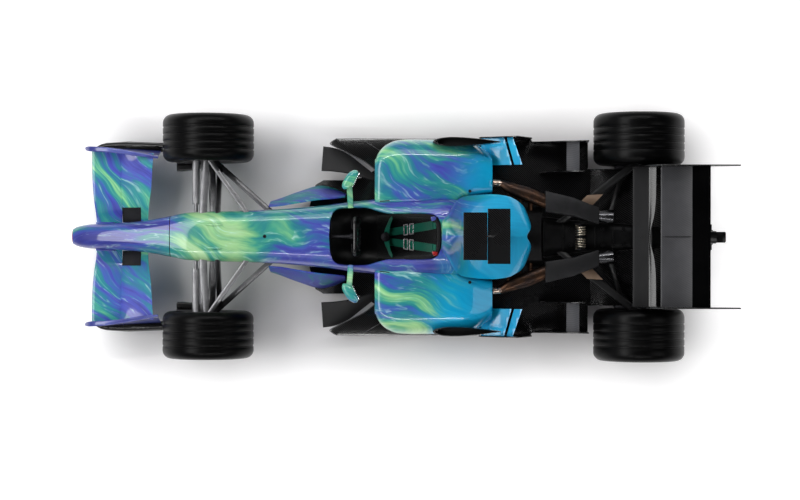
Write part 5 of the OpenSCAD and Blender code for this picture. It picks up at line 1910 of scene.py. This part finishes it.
@dataclass
class Studio:
    """Overhead camera, floor, world and lamps."""

    camera_place: tuple[float, float, float] = (-0.005, 0.096, 14.0)
    focal_px: float = 1877.0
    roll_deg: float = 0.08
    sensor_mm: float = 36.0
    clip_end: float = 200.0
    floor_half: float = 40.0
    floor_drop: float = 0.0008

    def build(self) -> None:
        """Sets up the studio."""
        scene = bpy.context.scene
        scene.view_settings.view_transform = "Standard"
        self.camera(scene)
        self.floor(scene)
        self.world(scene)
        self.lamp("front_key", (12.0, -1.0, 15.0), (0.2, 0.0, 0.0), (14.0, 6.0), 1350.0)
        self.lamp("rear_fill", (-5.4, 1.4, 4.6), (-0.6, 0.0, 0.2), (2.0, 3.0), 24.0)
        for side, watts in ((Side.RIGHT, 130.0), (Side.LEFT, 45.0)):
            broad, strip = (0.2, side.value * 4.4, 4.8), (0.6, side.value * 3.1, 4.9)
            self.lamp(f"broad_{side.label}", broad, (0.0, 0.0, 0.3), (9.0, 2.4), watts)
            self.lamp(f"strip_{side.label}", strip, (0.3, 0.0, 0.5), (8.0, 0.12), 72.0)

    def camera(self, scene: bpy.types.Scene) -> None:
        """Camera straight above, nose to the left of the picture."""
        data = bpy.data.cameras.new("overhead")
        data.sensor_width = self.sensor_mm
        data.lens = self.sensor_mm * self.focal_px / IMAGE_SIZE[0]
        data.clip_end = self.clip_end
        camera = bpy.data.objects.new("overhead", data)
        camera.location = self.camera_place
        camera.rotation_euler = (0.0, 0.0, math.radians(180.0 + self.roll_deg))
        scene.collection.objects.link(camera)
        scene.camera = camera

    def floor(self, scene: bpy.types.Scene) -> None:
        """Wide white floor under the tyres."""
        bm = bmesh.new()
        bmesh.ops.create_grid(bm, x_segments=1, y_segments=1, size=self.floor_half)
        bmesh.ops.translate(bm, vec=(0, 0, -self.floor_drop), verts=bm.verts[:])
        mesh = bpy.data.meshes.new("studio_floor")
        bm.to_mesh(mesh)
        bm.free()
        mesh.materials.append(FLOOR_WHITE.material())
        floor = bpy.data.objects.new("studio_floor", mesh)
        scene.collection.objects.link(floor)

    def world(self, scene: bpy.types.Scene) -> None:
        """Pale surround, dimmer behind and overhead so that black panels stay black."""
        world = bpy.data.worlds.new("studio")
        scene.world = world
        g = Graph(world)
        ahead, _, up = g.axes(g.node("ShaderNodeTexCoord", out="Generated"))
        horizon = g.mix(ahead.between(-0.7, 0.8), (0.16, 0.165, 0.17), (0.52, 0.53, 0.55))
        shade = g.mix(up.between(0.05, 0.6), horizon, (0.03, 0.03, 0.034))
        light = g.node("ShaderNodeBackground", None, {"Color": shade, "Strength": 1.0})
        g.node("ShaderNodeOutputWorld", None, {"Surface": light})

    def lamp(self, name: str, place: tuple, aim: tuple, size: tuple[float, float],
             watts: float) -> None:
        """Soft lamp aimed at a point, long side first."""
        data = bpy.data.lights.new(name, "AREA")
        data.shape, data.size, data.size_y, data.energy = "RECTANGLE", size[0], size[1], watts
        lamp = bpy.data.objects.new(name, data)
        lamp.location = place
        lamp.rotation_euler = (Vector(aim) - Vector(place)).to_track_quat("-Z", "Y").to_euler()
        bpy.context.scene.collection.objects.link(lamp)


def main() -> None:
    """Builds the studio and dresses the car around its frame."""
    logging.basicConfig(level=logging.INFO, format="%(name)s %(message)s")
    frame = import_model()
    shop = Workshop(frame["nodes"], Datum.from_frame())
    Studio().build()
    for group in (Bodywork, FrontWing, RearWing, FloorPieces, Cockpit, PowerUnit, Suspension):
        group(shop).build()
    for end in ("front", "rear"):
        for side in Side:
            Wheel(shop, f"{end}_{side.label}", side).build()
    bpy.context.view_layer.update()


if __name__ == "__main__":
    main()
